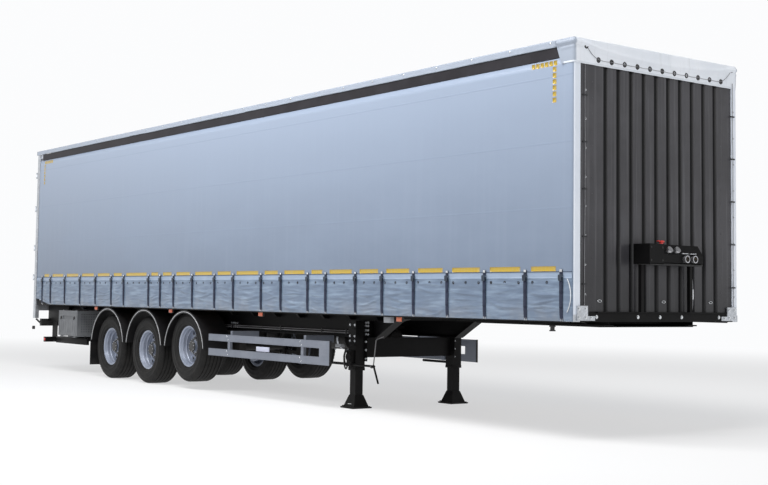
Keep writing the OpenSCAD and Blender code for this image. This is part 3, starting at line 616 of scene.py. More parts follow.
def coated_cloth():
    """Silver-blue coated fabric: a fine weave, welded panel seams, faint streaks and dust low down. Light
    is painted in too: a painted sheen lightens it towards the top, painted shade darkens the skirt below
    the band, and painted highlights run along the skirt's creases.
    """
    material, tree, shader, where = new_finish("curtain_coating")
    z = axes_of(tree, where)[2]
    soft = noise(tree, stretch(tree, where, (0.35, 1.0, 0.9)), 1.6, 5.0, 0.6)
    streak = noise(tree, stretch(tree, where, (5.0, 1.0, 0.25)), 2.2, 4.0, 0.55)
    tone = blend_tones(tree, ramp(tree, soft, 0.3, 0.72), (0.150, 0.193, 0.268), (0.172, 0.219, 0.300))
    tone = blend_tones(tree, ramp(tree, streak, 0.45, 0.8, 0.0, 0.22), tone, (0.215, 0.262, 0.348))
    # painted sheen: the cloth is painted lighter towards the top
    painted_top_sheen = ramp(tree, z, 1.75, 3.75, 0.0, 0.80, smooth=False)
    tone = blend_tones(tree, painted_top_sheen, tone, (0.325, 0.39, 0.505))
    # painted shade: the skirt below the band is painted darker
    tone = blend_tones(tree, ramp(tree, z, 1.70, 1.62, 0.0, 0.75), tone, (0.105, 0.152, 0.226))
    # painted highlights: pale streaks along the creases of the skirt
    painted_crease_highlight = maths(tree, "MULTIPLY",
                  ramp(tree, noise(tree, stretch(tree, where, (1.6, 1.0, 14.0)), 1.5, 4.0, 0.6), 0.42,
                       0.72),
                  ramp(tree, z, 1.66, 1.60, 0.0, 0.55))
    tone = blend_tones(tree, painted_crease_highlight, tone, (0.27, 0.355, 0.465))
    seams = None
    for level in SEAM_LEVELS:
        gap = maths(tree, "ABSOLUTE", maths(tree, "SUBTRACT", z, level))
        line = ramp(tree, gap, 0.004, 0.012, 1.0, 0.0)
        seams = line if seams is None else maths(tree, "MAXIMUM", seams, line)
    tone = blend_tones(tree, maths(tree, "MULTIPLY", seams, 0.22), tone, (0.20, 0.25, 0.35))
    dusty = maths(tree, "MULTIPLY", ramp(tree, z, 1.15, 1.45, 0.30, 0.0),
                  ramp(tree, noise(tree, where, 5.0, 6.0, 0.7), 0.35, 0.7))
    tone = blend_tones(tree, dusty, tone, (0.30, 0.29, 0.28))
    tree.links.new(tone, shader.inputs["Base Color"])
    tree.links.new(ramp(tree, soft, 0.25, 0.75, 0.30, 0.42), shader.inputs["Roughness"])
    shader.inputs["Coat Weight"].default_value = 0.10
    shader.inputs["Coat Roughness"].default_value = 0.25
    weave_x = new_node(tree, "TexWave", where, Scale=THREADS)
    weave_z = new_node(tree, "TexWave", where, Scale=THREADS)
    weave_z.bands_direction = "Z"
    weave = maths(tree, "ADD", weave_x.outputs["Fac"], weave_z.outputs["Fac"])
    first = add_bump(tree, shader, weave, 0.12, 0.0002)
    second = add_bump(tree, shader, seams, 0.6, 0.0012, first)
    add_bump(tree, shader, noise(tree, where, 9.0, 3.0, 0.5), 0.12, 0.004, second)
    return material


CURTAIN = coated_cloth()
for side, word in ((-1, "right"), (1, "left")):
    curtain_sheet("curtain_cloth_" + word, side, 20 + side)
    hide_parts("curtain_" + word)

# %% [markdown]
# A doubled band is welded along each curtain at buckle height, with a thin dark cord line on its
# upper edge, a row of pressed eyelets below it, and reflective yellow tape above it.

# %% Band, eyelets and tape
def skin(side, x, z, out):
    """Points that lie on a curtain's outer face, raised by out."""
    return np.stack([x, side * (SIDE - 0.0055 + curtain_depth(x, z, 20 + side) + out), z], -1)


def strip_shape(side, x0, x1, z0, z1, out, nx, nz, thick=0.0012):
    """A closed band on the curtain between two stations and two heights: outer grid, inner grid
    and a rim of quads round them."""
    x, z = np.meshgrid(np.linspace(x0, x1, nx), np.linspace(z0, z1, nz), indexing="ij")
    outer = skin(side, x, z, out + thick).reshape(-1, 3)
    inner = skin(side, x, z, out).reshape(-1, 3)
    faces = grid_faces(nx, nz)
    back = faces[:, ::-1] + nx * nz
    index = np.arange(nx * nz).reshape(nx, nz)
    loop = np.concatenate([index[:-1, 0], index[-1, :-1], index[:0:-1, -1], index[0, :0:-1]])
    after = np.roll(loop, -1)
    rim = np.stack([after, loop, loop + nx * nz, after + nx * nz], -1)
    quads = np.concatenate([faces, back, rim])
    if side > 0:
        quads = quads[:, ::-1]
    return np.concatenate([outer, inner]), quads.tolist()


def both_sides_of(build):
    return join_parts([build(-1), build(1)])


BAND = finish("doubled_band", (0.24, 0.31, 0.42), (0.28, 0.35, 0.46), 0.4, 0.1, mottle=4.0, coat=0.15)
HEM_LINE = finish("hem_line", (0.020, 0.040, 0.085), (0.035, 0.06, 0.11), 0.55, 0.1)
STEEL_BRIGHT = finish("plated_steel", (0.62, 0.64, 0.66), (0.72, 0.74, 0.76), 0.25, 0.12, metal=0.95,
                      mottle=30.0)
# painted shade: this near-black stands in for the shade inside eyelets, hand holes, vents and slots; the
# wall cord ties and the socket inserts use it as their own black
DARK_HOLE = finish("dark_hole", (0.012, 0.013, 0.015), rough=0.6)

make_mesh("curtain_bands", *both_sides_of(
    lambda s: strip_shape(s, LEFT_END + 0.01, RIGHT_END - 0.01, 1.604, 1.664, 0.0010, 540, 5)), BAND)
make_mesh("curtain_hem_lines", *both_sides_of(
    lambda s: strip_shape(s, LEFT_END + 0.01, RIGHT_END - 0.01, 1.664, 1.6715, 0.0014, 540, 2)), HEM_LINE)


def eyelet_shape(side, hole=0.0090, rim=0.0175, out=0.004):
    """A pressed ring: its section runs from the hole's edge over a rounded top down to the rim."""
    t = np.linspace(0, np.pi, 5)
    mid, half = (hole + rim) / 2, (rim - hole) / 2
    section = np.stack([mid - half * np.cos(t), out * np.sin(t)], -1)
    return turned_shape(section, (0, 0, 0), "y", 14, side)


def eyelet_row(side):
    xs = np.arange(LEFT_END + 0.08, RIGHT_END - 0.12, 0.205)
    zs = np.full_like(xs, 1.562)
    return swarm(eyelet_shape(side), skin(side, xs, zs, 0.0003))


def eyelet_holes(side):
    xs = np.arange(LEFT_END + 0.08, RIGHT_END - 0.12, 0.205)
    zs = np.full_like(xs, 1.562)
    disc = turned_shape([(0.0, 0.0), (0.0, 0.0012), (0.0082, 0.0012), (0.0082, 0.0)], (0, 0, 0), "y", 10,
                        side)
    return swarm(disc, skin(side, xs, zs, 0.0))


make_mesh("curtain_eyelets", *both_sides_of(eyelet_row),
          finish("eyelet_zinc", (0.020, 0.024, 0.032), (0.05, 0.055, 0.065), 0.35, metal=0.6))
# painted shade: dark discs in the eyelets' holes
make_mesh("curtain_eyelet_holes", *both_sides_of(eyelet_holes), DARK_HOLE)


def reflective_tape(name, pitch_x, pitch_z, tone=(0.40, 0.275, 0.006)):
    """Yellow prismatic tape: square blocks with thin paler gaps, and a fine honeycomb bump."""
    material, tree, shader, where = new_finish(name)
    x, _, z = axes_of(tree, where)
    gap = None
    for value, pitch in ((x, pitch_x), (z, pitch_z)):
        phase = maths(tree, "ABSOLUTE",
                      maths(tree, "SUBTRACT", maths(tree, "FRACT", maths(tree, "DIVIDE", value, pitch)),
                            0.5))
        line = ramp(tree, phase, 0.455, 0.475)
        gap = line if gap is None else maths(tree, "MAXIMUM", gap, line)
    cells = new_node(tree, "TexVoronoi", where, Scale=260.0)
    shade = ramp(tree, cells.outputs["Distance"], 0.0, 0.8, 0.0, 0.35)
    mix = blend_tones(tree, shade, tone, (0.56, 0.35, 0.035))
    mix = blend_tones(tree, maths(tree, "MULTIPLY", gap, 0.55), mix, (0.42, 0.33, 0.16))
    worn = ramp(tree, noise(tree, where, 14.0, 5.0, 0.65), 0.52, 0.74, 0.0, 0.45)
    tree.links.new(blend_tones(tree, worn, mix, (0.36, 0.29, 0.16)), shader.inputs["Base Color"])
    shader.inputs["Roughness"].default_value = 0.3
    shader.inputs["Coat Weight"].default_value = 0.5
    add_bump(tree, shader, cells.outputs["Distance"], 0.3, 0.0004)
    return material


TAPE = reflective_tape("yellow_tape", 0.0535, 10.0)


def tape_row(side):
    """One length of tape in each bay, stopping short of the straps and the door-end pocket."""
    ends = np.concatenate([[LEFT_END + 0.02], STRAPS])
    gaps = [(a + 0.08, b - 0.08) for a, b in zip(ends[:-1], ends[1:]) if b - a > 0.3]
    return join_parts([strip_shape(side, a, b, 1.674, 1.724, 0.0012, max(3, int((b - a) / 0.03)), 4, 0.0008)
                       for a, b in gaps])


def corner_marks(side):
    """Square blocks in an L at the two upper corners."""
    parts = []
    for start, step, count in ((13.075, 0.0625, 6), (0.325, 0.0625, 6)):
        for k in range(count):
            x0 = REAR + start + step * k
            parts.append(strip_shape(side, x0, x0 + 0.052, 3.742, 3.792, 0.0010, 3, 3, 0.0008))
    for x0 in (13.376, 0.310):
        for k in range(1, 7):
            z1 = 3.792 - 0.0625 * k
            parts.append(strip_shape(side, REAR + x0, REAR + x0 + 0.052, z1 - 0.05, z1,
                                     0.0010, 3, 3, 0.0008))
    return join_parts(parts)


make_mesh("side_reflective_tape", *both_sides_of(tape_row), TAPE)
make_mesh("corner_reflective_blocks", *both_sides_of(corner_marks),
          reflective_tape("yellow_blocks", 10.0, 10.0))

# %% [markdown]
# ## Straps and buckles
# A strap is flat webbing led from a fitting on the band, through an over-centre buckle, down the
# cloth and round the floor frame to a steel hook.

# %% Straps, buckles and hooks
def ribbon_shape(path, width, thick):
    """A flat band along x: its path is in y and z, and its edges are rounded by two extra rows."""
    path = np.asarray(path, float)
    ahead = np.gradient(path, axis=0)
    ahead /= np.linalg.norm(ahead, axis=1)[:, None]
    out = np.stack([ahead[:, 1], -ahead[:, 0]], -1)
    w = width / 2 * np.array([-1, -0.97, 0.97, 1, 1, 0.97, -0.97, -1])
    h = thick / 2 * np.array([0.5, 1, 1, 0.5, -0.5, -1, -1, -0.5])
    ring = path[:, None] + h[None, :, None] * out[:, None]
    points = np.concatenate([np.broadcast_to(w[None, :, None], (len(path), 8, 1)), ring], -1)
    faces = grid_faces(len(path), 8, wrap_cols=True)
    last = (len(path) - 1) * 8
    caps = [list(range(7, -1, -1)), list(range(last, last + 8))]
    return points.reshape(-1, 3), faces.tolist() + caps


def slab_shape(outline, x0, x1):
    """An outline in y and z, carried along x."""
    outline = np.asarray(outline, float)
    n = len(outline)
    a = np.column_stack([np.full(n, x0), outline])
    b = np.column_stack([np.full(n, x1), outline])
    i = np.arange(n)
    j = (i + 1) % n
    sides = np.stack([i, j, j + n, i + n], -1).tolist()
    return np.concatenate([a, b]), [list(range(n - 1, -1, -1)), list(range(n, 2 * n))] + sides


def turned_about_z(shape, side):
    """The right-hand shape as it is for side -1, or mirrored to the left for side 1."""
    points, faces = np.asarray(shape[0], float), shape[1]
    if side < 0:
        return points, faces
    return points * [1, -1, 1], [f[::-1] for f in faces]


def outward(shape):
    """Turn every face so that the closed shape's volume counts as positive."""
    points = np.asarray(shape[0], float)
    volume = 0.0
    for face in shape[1]:
        a = points[face[0]]
        for k in range(1, len(face) - 1):
            volume += np.dot(a, np.cross(points[face[k]], points[face[k + 1]]))
    return (points, shape[1]) if volume > 0 else (points, [f[::-1] for f in shape[1]])


def strap_set():
    """Right-hand shapes of one strap at x 0: webbing, plates and levers, steel pins and hooks."""
    y = -SIDE
    bend = np.array([(y - 0.0030, STRAP_TOP), (y - 0.0034, 1.66), (y - 0.0042, 1.62), (y - 0.0040, 1.56),
                     (y - 0.0030, 1.45), (y - 0.0026, 1.35), (y - 0.0020, 1.28), (y + 0.0005, 1.235),
                     (y + 0.0045, 1.205), (y + 0.0050, 1.192)])
    fine = np.linspace(0, 1, 30)
    rough_t = np.linspace(0, 1, len(bend))
    path = np.stack([np.interp(fine, rough_t, bend[:, 0]), np.interp(fine, rough_t, bend[:, 1])], -1)
    webbing = join_parts([
        outward(ribbon_shape(path, 0.044, 0.0026)),
        outward(ribbon_shape(path[6:19] + [-0.0030, 0.0], 0.043, 0.0024)),
        outward(ribbon_shape([(y - 0.0092, 1.585), (y - 0.0088, 1.55), (y - 0.0074, 1.50),
                              (y - 0.0078, 1.455)],
                             0.041, 0.0022)),
    ])
    plate = outward(slab_shape([(y - 0.005, 1.578), (y - 0.005, 1.642), (y - 0.010, 1.640),
            (y - 0.012, 1.612),
                                (y - 0.010, 1.580)], -0.026, 0.026))
    lever = outward(slab_shape([(y - 0.012, 1.632), (y - 0.018, 1.638), (y - 0.0235, 1.628),
            (y - 0.024, 1.600),
                                (y - 0.0205, 1.5785), (y - 0.0175, 1.5800), (y - 0.0195, 1.600),
                                (y - 0.0150, 1.618)], -0.023, 0.023))
    cheek_l = outward(slab_shape([(y - 0.008, 1.590), (y - 0.008, 1.640), (y - 0.021, 1.636),
            (y - 0.021, 1.608)],
                                 -0.0275, -0.0235))
    cheek_r = (cheek_l[0] * [-1, 1, 1], [f[::-1] for f in cheek_l[1]])
    metal = join_parts([plate, lever, cheek_l, cheek_r])
    pin = outward(turned_shape([(0.0, -0.029), (0.004, -0.029), (0.004, 0.029), (0.0, 0.029)],
                               (0, y - 0.0165, 1.624), "x", 10))
    top = outward(slab_shape([(y - 0.0045, 1.668), (y - 0.0045, 1.692), (y - 0.0085, 1.692),
                              (y - 0.0085, 1.668)],
                             -0.017, 0.017))
    stud = outward(turned_shape([(0.0, 0.0), (0.0, 0.004), (0.004, 0.0035), (0.0055, 0.0)],
                                (0, y - 0.0085, 1.680), "y", 10, -1))
    hook_path = np.array([(0, y + 0.004, 1.205), (0, y + 0.0035, 1.190), (0, y + 0.006, 1.182),
                          (0, y + 0.014, 1.1815), (0, y + 0.019, 1.186)])
    hook = outward(tube_shape(hook_path + [0.012, 0, 0], 0.0028, 8))
    hook2 = outward(tube_shape(hook_path - [0.012, 0, 0], 0.0028, 8))
    return webbing, metal, join_parts([pin, top, stud, hook, hook2])


webbing, metal, steel = strap_set()
places = np.column_stack([STRAPS, 0 * STRAPS, 0 * STRAPS])
BUCKLE = finish("buckle_coating", (0.010, 0.016, 0.030), (0.03, 0.045, 0.07), 0.38, 0.2, metal=0.4,
                coat=0.2)


def webbing_finish():
    """Woven polyester: close ribs along the strap."""
    material = finish("webbing", (0.006, 0.010, 0.030), (0.012, 0.020, 0.050), 0.75, 0.1)
    tree = material.node_tree
    shader = tree.nodes["Principled BSDF"]
    where = tree.nodes["Texture Coordinate"].outputs["Object"]
    rib = new_node(tree, "TexWave", where, Scale=130.0)
    rib.bands_direction = "Z"
    add_bump(tree, shader, rib.outputs["Fac"], 0.5, 0.0004)
    return material


strap_piece = make_joined("strap_webbing_all", [turned_about_z(swarm(webbing, places), s) for s in (-1, 1)],
                        webbing_finish())
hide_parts("curtain_straps")
sharp_by_angle(make_joined("strap_buckles", [turned_about_z(swarm(metal, places), s) for s in (-1, 1)],
                         BUCKLE), 0.5)
sharp_by_angle(make_joined("strap_fittings", [turned_about_z(swarm(steel, places), s) for s in (-1, 1)],
                         STEEL_BRIGHT), 0.5)
print("straps", len(STRAPS), "a side")

# %% [markdown]
# ## Roof
# The roof is one coated sheet laid over the bows. Between two bows it sags a few millimetres,
# and down each side it hangs as a short flap that press studs hold to the rail. A sewn cap
# closes the front, tied down with a thin cord through a row of eyelets.

# %% Roof sheet
BOWS = np.array([v.co[0] for v in frame["nodes"]["roof_bows"].data.vertices])
BOWS = np.unique(np.round(BOWS, 3)).reshape(-1, 2).mean(1)
FLAP_LOW, FLAP_Y = low("roof_cover")[2], high("roof_cover")[1]
ROOF_X0, ROOF_X1 = low("roof_cover")[0], high("roof_cover")[0]
EDGE_Z = ROOF - 0.014


def roof_sheet(columns=330):
    """A strip across the trailer for each station: flap up, round the edge, over the crown and down.

    Crown height is 14 mm * (1 - |y| / half width); sag between bows is 6 mm * sin^2; the flap
    waves by 3.5 mm between studs and its lower edge rolls outwards slightly.
    """
    t = np.linspace(0, np.pi / 2, 6)[1:-1]
    up_z = np.linspace(FLAP_LOW, EDGE_Z, 7)
    turn_y = FLAP_Y - 0.014 * (1 - np.cos(t))
    turn_z = EDGE_Z + 0.014 * np.sin(t)
    top_y = np.linspace(FLAP_Y - 0.014, 0, 14)
    y = np.concatenate([np.full(7, FLAP_Y), turn_y, top_y])
    z = np.concatenate([up_z, turn_z, np.full(14, EDGE_Z + 0.014)])
    y = np.concatenate([-y, y[-2::-1]])
    z = np.concatenate([z, z[-2::-1]])
    x = np.linspace(ROOF_X0, ROOF_X1, columns)
    X, Y = np.meshgrid(x, y, indexing="ij")
    Z = np.broadcast_to(z, X.shape).copy()
    inner = smooth_step(FLAP_Y - np.abs(Y), 0.014, 0.25)
    gap = np.clip(np.searchsorted(BOWS, X) - 1, 0, len(BOWS) - 2)
    u = np.clip((X - BOWS[gap]) / (BOWS[gap + 1] - BOWS[gap]), 0, 1)
    sag = 0.006 * inner * np.sin(np.pi * u) ** 2
    Z = Z + 0.014 * (1 - np.abs(Y) / FLAP_Y) * (Z > EDGE_Z + 0.0139) - sag
    Z = Z + 0.0012 * inner * smooth_noise(X, Y, 9, 5.0, 5)
    hang = smooth_step(-Z, -(EDGE_Z - 0.005), -FLAP_LOW)
    wave = np.sin(2 * np.pi * (X - ROOF_X1 + 0.085) / 0.6) ** 2
    wavy = 0.0035 * hang * wave + 0.0012 * hang * smooth_noise(X, Z, 7, 12.0, 6)
    Y = Y + np.sign(Y) * wavy * (np.abs(Y) > FLAP_Y - 0.001)
    Z = Z + 0.0025 * hang * smooth_noise(X, Y, 5, 7.0, 8) * (Z < FLAP_LOW + 0.03)
    sheet = make_mesh("roof_sheet", np.stack([X, Y, Z], -1), grid_faces(columns, len(y)), ROOF_CLOTH)
    thick = sheet.modifiers.new("cloth", "SOLIDIFY")
    thick.thickness = 0.0012
    thick.offset = -1.0
    return sheet


def roof_cloth():
    """White coated cloth: grey run marks, a fine weave and a dull sheen."""
    material, tree, shader, where = new_finish("roof_coating")
    soft = noise(tree, where, 1.8, 6.0, 0.6)
    tone = blend_tones(tree, ramp(tree, soft, 0.3, 0.72), (0.72, 0.76, 0.82), (0.80, 0.83, 0.88))
    runs = noise(tree, stretch(tree, where, (9.0, 9.0, 0.7)), 2.0, 5.0, 0.6)
    tone = blend_tones(tree, ramp(tree, runs, 0.52, 0.8, 0.0, 0.30), tone, (0.46, 0.47, 0.48))
    # painted shade: the side flaps and the cap's cheeks are painted a darker blue-grey than the top
    side = ramp(tree, maths(tree, "ABSOLUTE", axes_of(tree, where)[1]), 1.236, 1.262, 0.0, 0.92)
    tone = blend_tones(tree, side, tone, (0.29, 0.335, 0.41))
    tree.links.new(tone, shader.inputs["Base Color"])
    tree.links.new(ramp(tree, soft, 0.25, 0.75, 0.38, 0.55), shader.inputs["Roughness"])
    shader.inputs["Coat Weight"].default_value = 0.1
    weave = noise(tree, where, 500.0, 1.0)
    first = add_bump(tree, shader, weave, 0.15, 0.0003)
    add_bump(tree, shader, noise(tree, where, 14.0, 4.0, 0.6), 0.25, 0.004, first)
    return material


ROOF_CLOTH = roof_cloth()
roof_piece = roof_sheet()
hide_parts("roof_cover")


# %% Front cap
CAP_X0, CAP_X1 = low("roof_front_cap")[0], high("roof_front_cap")[0] - 0.012
CAP_Y, CAP_LOW = high("roof_front_cap")[1] - 0.002, low("roof_front_cap")[2]


def cap_outline(count):
    """Plan of the cap: back along the right cheek, round a 28 mm corner, across the front, and
    back along the left. Returns places, outward directions and the hem's height at each place."""
    r = 0.028
    t = np.linspace(0, np.pi / 2, 9)
    cheek = np.linspace(CAP_X0, CAP_X1 - r, 12)[:-1]
    across = np.linspace(-CAP_Y + r, CAP_Y - r, count)[1:-1]
    right = np.column_stack([cheek, np.full(11, -CAP_Y), 0 * cheek, np.full(11, -1.0)])
    turn = np.column_stack([CAP_X1 - r + r * np.sin(t), -CAP_Y + r - r * np.cos(t), np.sin(t), -np.cos(t)])
    front = np.column_stack([np.full(count - 2, CAP_X1), across, np.ones(count - 2), np.zeros(count - 2)])
    half = np.concatenate([right, turn])
    left = half[::-1] * [1, -1, 1, -1]
    rows = np.concatenate([half, front, left])
    hem = CAP_LOW + (FLAP_LOW - CAP_LOW) * np.clip(1 - (rows[:, 0] - CAP_X0) / 0.075, 0, 1)
    return rows[:, :2], rows[:, 2:], hem


def cap_folds(y, z):
    """Depth of the folds on the cap's front: one long fold sags from both corners to the middle,
    two short ones run in from each corner, and the cloth scallops out between the eyelets."""
    reach = np.clip(np.abs(y) / CAP_Y, 0, 1)
    sag = 3.955 - 0.085 * (1 - reach ** 2)
    depth = 0.014 * np.exp(-((z - sag) / 0.018) ** 2) * (0.35 + 0.65 * reach)
    depth = depth - 0.006 * np.exp(-((z - sag + 0.035) / 0.02) ** 2)
    depth = depth + 0.009 * np.exp(-((z - (3.905 - 0.07 * (1 - reach))) / 0.012) ** 2) * reach ** 2
    short = 3.985 - 0.26 * (1 - reach)
    depth = depth + 0.010 * np.exp(-((z - short) / 0.012) ** 2) * smooth_step(reach, 0.6, 0.95)
    tie = np.cos(2 * np.pi * (y - 0.0355) / 0.193)
    low_band = 1 - smooth_step(z, CAP_LOW, CAP_LOW + 0.09)
    return depth - 0.0045 * low_band * (0.5 + 0.5 * tie) + 0.0030 * smooth_noise(y, z, 9, 9.0, 12)


def front_cap():
    """Rows from the hem up the wall of the cap, round its top edge and in to the roof: the last
    rows close towards the cap's back edge."""
    places, outward_dir, hem = cap_outline(150)
    up = np.linspace(0, 1, 20)
    t = np.linspace(0, np.pi / 2, 5)[1:]
    x, y = places[:, 0][:, None], places[:, 1][:, None]
    nx, ny = outward_dir[:, 0][:, None], outward_dir[:, 1][:, None]
    z = hem[:, None] + (EDGE_Z - 0.002 - hem[:, None]) * up
    folds = cap_folds(y + 0 * z, z) * smooth_step(EDGE_Z - z, 0.0, 0.02)
    wall = np.stack([x + nx * folds, y + ny * folds, z], -1)
    edge = np.stack([x - nx * 0.014 * (1 - np.cos(t)), y - ny * 0.014 * (1 - np.cos(t)),
                     0 * x + EDGE_Z - 0.002 + 0.014 * np.sin(t)], -1)
    inner = places - 0.014 * outward_dir
    goal = np.column_stack([np.full(len(places), CAP_X0),
                            np.linspace(inner[0, 1], inner[-1, 1], len(places))])
    k = np.linspace(0, 1, 10)[None, 1:, None]
    plan = inner[:, None] * (1 - k) + goal[:, None] * k
    height = EDGE_Z + 0.012 + 0.012 * (1 - np.abs(plan[..., 1:]) / CAP_Y) * np.sin(np.minimum(1, 3 * k)
            * np.pi / 2)
    height = height + 0.0016 * smooth_noise(plan[..., :1], plan[..., 1:], 7, 14.0, 3) * np.minimum(1, 5 * k)
    top = np.concatenate([plan, height], -1)
    points = np.concatenate([wall, edge, top], 1)
    faces = grid_faces(points.shape[0], points.shape[1])
    cap = make_mesh("front_cap_cloth", points, faces, ROOF_CLOTH)
    thick = cap.modifiers.new("cloth", "SOLIDIFY")
    thick.thickness = 0.0012
    thick.offset = -1.0
    return cap


cap_piece = front_cap()
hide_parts("roof_front_cap")


# %% Studs, hem, eyelets and the tie cord
def ring_at(places, out_axis, out_sign, hole, rim, out, steps=14):
    """Pressed rings at the given places, with their faces towards out_sign along out_axis."""
    t = np.linspace(0, np.pi, 5)
    mid, half = (hole + rim) / 2, (rim - hole) / 2
    section = np.stack([mid - half * np.cos(t), out * np.sin(t)], -1)
    return swarm(outward(turned_shape(section, (0, 0, 0), out_axis, steps, out_sign)), places)


def dome_at(places, out_axis, out_sign, radius, height, steps=12):
    """Round-headed studs: the outline is a quarter of an ellipse."""
    t = np.linspace(0, np.pi / 2, 5)
    section = np.concatenate([[(0.0, 0.0)], np.stack([radius * np.cos(t), height * np.sin(t)], -1)])
    return swarm(outward(turned_shape(section, (0, 0, 0), out_axis, steps, out_sign)), places)


stud_x = ROOF_X1 - 0.085 - 0.6 * np.arange(22)
stud_places = [np.column_stack([stud_x, np.full(22, s * (FLAP_Y + 0.0012)), np.full(22, 3.974)])
               for s in (-1, 1)]
studs = join_parts([dome_at(stud_places[0], "y", -1, 0.013, 0.005),
                    dome_at(stud_places[1], "y", 1, 0.013, 0.005)])
make_mesh("roof_flap_studs", *studs, STEEL_BRIGHT)

tie_y = 0.0355 + 0.193 * (np.arange(11) - 5)
tie_places = np.column_stack([np.full(11, CAP_X1 - 0.0015), tie_y, np.full(11, 3.800)])
corner_places = np.array([[CAP_X1 + 0.001, -1.106, 3.921], [CAP_X1 + 0.001, 1.184, 3.948]])
make_mesh("cap_eyelets", *ring_at(np.concatenate([tie_places, corner_places]), "x", 1, 0.011, 0.030, 0.008),
          finish("black_eyelets", (0.004, 0.004, 0.005), (0.012, 0.012, 0.014), 0.3, coat=0.3))
# painted shade: dark domes in the cap eyelets' holes
make_mesh("cap_eyelet_holes", *dome_at(np.concatenate([tie_places, corner_places]), "x", 1, 0.012, 0.0026),
          DARK_HOLE)
CORD = finish("tie_cord", (0.16, 0.16, 0.17), (0.30, 0.30, 0.32), 0.7, 0.1, mottle=200.0, grain=900.0,
              depth=0.0008)


def lacing(count=221):
    """A cord that is drawn from eyelet to eyelet: it dips 6 mm between two ties, and 20 mm on
    its way to each corner eyelet."""
    y = np.linspace(tie_y[0], tie_y[-1], count)
    phase = (y - tie_y[0]) / 0.193
    z = 3.800 - 0.006 * np.sin(np.pi * (phase % 1)) ** 1.2
    main = np.column_stack([np.full(count, CAP_X1 + 0.0035), y, z])
    right = np.linspace(corner_places[0], main[0], 30)
    right[:, 2] -= 0.02 * np.sin(np.linspace(0, np.pi, 30))
    left = np.linspace(main[-1], corner_places[1], 30)
    left[:, 2] -= 0.02 * np.sin(np.linspace(0, np.pi, 30))
    line = np.concatenate([right[:-1], main, left[1:]])
    line[:, 0] = CAP_X1 + 0.0045
    return outward(tube_shape(line, 0.0028, 8))


make_mesh("cap_tie_cord", *lacing(), CORD)


def hem_strip(count=150):
    """A doubled hem along the cap's lower edge, 24 mm deep, that follows its folds."""
    places, out_dir, hem = cap_outline(count)
    keep = places[:, 0] > CAP_X0 + 0.08
    places, out_dir, hem = places[keep], out_dir[keep], hem[keep]
    v = np.array([0.001, 0.006, 0.019, 0.024, 0.024, 0.001])
    lift = np.array([0.0005, 0.0022, 0.0022, 0.0005, -0.0005, -0.0005])
    z = hem[:, None] + v
    push = cap_folds(places[:, 1][:, None] + 0 * z, z) + lift
    points = np.stack([places[:, :1] + out_dir[:, :1] * push, places[:, 1:] + out_dir[:, 1:] * push, z], -1)
    n = len(places)
    ends = [list(range(5, -1, -1)), list(range((n - 1) * 6, n * 6))]
    faces = grid_faces(n, 6, wrap_cols=True).tolist() + ends
    return outward((points.reshape(-1, 3), faces))


make_mesh("cap_hem", *hem_strip(), finish("cap_hem_cloth", (0.62, 0.66, 0.72), (0.70, 0.74, 0.79), 0.5))
print("roof and cap done")

# %% [markdown]
# ## Front wall
# Two cords run down the wall's edges through small eyes. Rows of rivets hold the profiled sheet,
# bolts hold the beam and the corner brackets, and a black cabinet carries the couplings.

# %% Cords, rivets, bolts and clips
WALL_X = high("front_wall")[0]
BEAM_X = high("front_posts")[0]


def hex_bolts(places, axis, sign, across_flats=0.019, head=0.011, washer=0.017):
    """Hexagon heads with a chamfer, each on a round washer."""
    r = across_flats / np.sqrt(3)
    head_part = outward(turned_shape([(0.0, 0.002), (r, 0.002), (r, head - 0.001), (0.86 * r, head),
            (0.0, head)],
                                     (0, 0, 0), axis, 6, sign))
    ring = outward(turned_shape([(0.0, -0.001), (washer, -0.001), (washer, 0.0022), (0.0, 0.0025)],
                                (0, 0, 0), axis, 16, sign))
    return swarm(join_parts([head_part, ring]), places)


wall_rivets = [(WALL_X, s * y, z) for s in (-1, 1) for y in (1.005, 1.155)
               for z in np.arange(1.33, 3.72, 0.16)]
sharp_by_angle(make_mesh("wall_rivets", *dome_at(wall_rivets, "x", 1, 0.0065, 0.0032, 10),
                         finish("rivet_heads", (0.045, 0.045, 0.05), (0.09, 0.09, 0.10), 0.4, metal=0.5)))
for word, y in (("right", -1.112), ("left", 1.196)):
    top, bottom = 3.80, 1.34
    cord_z = np.linspace(top, bottom, 90)
    cord_x = np.full(90, WALL_X + (0.006 if y < 0 else 0.018)) + 0.0012 * np.sin(9 * cord_z)
    make_mesh("wall_cord_" + word,
              *outward(tube_shape(np.column_stack([cord_x, np.full(90, y) + 0.002 * np.sin(3 * cord_z),
                                                                      cord_z]), 0.0032, 8)), CORD)
    tie_z = np.arange(1.55, 3.70, 0.47)
    ties = box_shape((WALL_X - 0.001 if y < 0 else BEAM_X - 0.0005, -0.030, -0.007),
                     (WALL_X + 0.0115 if y < 0 else BEAM_X + 0.0105, 0.030, 0.007))
    make_mesh("wall_cord_ties_" + word, *swarm(ties, [(0, y, z) for z in tie_z]), DARK_HOLE, smooth=False)
    eye_z = np.arange(1.45, 3.75, 0.29)
    base_x = WALL_X if y < 0 else BEAM_X
    eyes = np.column_stack([np.full(len(eye_z), base_x + 0.0005), np.full(len(eye_z), y + 0.012), eye_z])
    make_mesh("wall_cord_eyes_" + word, *ring_at(eyes, "x", 1, 0.005, 0.011, 0.006, 12), STEEL_BRIGHT)

beam_bolts = [(BEAM_X, y, 1.227) for y in (-0.950, -0.342, -0.005, 0.336, 0.948)]
bracket_bolts = [(BEAM_X + 0.012, s * y, z) for s in (-1, 1) for y, z in
                 ((1.112, 1.222), (1.205, 1.222), (1.112, 1.306), (1.205, 1.306), (1.035, 1.218))]
sharp_by_angle(make_joined("front_bolts", [hex_bolts(beam_bolts, "x", 1, 0.024, 0.010, 0.019),
                                                     hex_bolts(bracket_bolts, "x", 1)], STEEL_BRIGHT), 0.5)


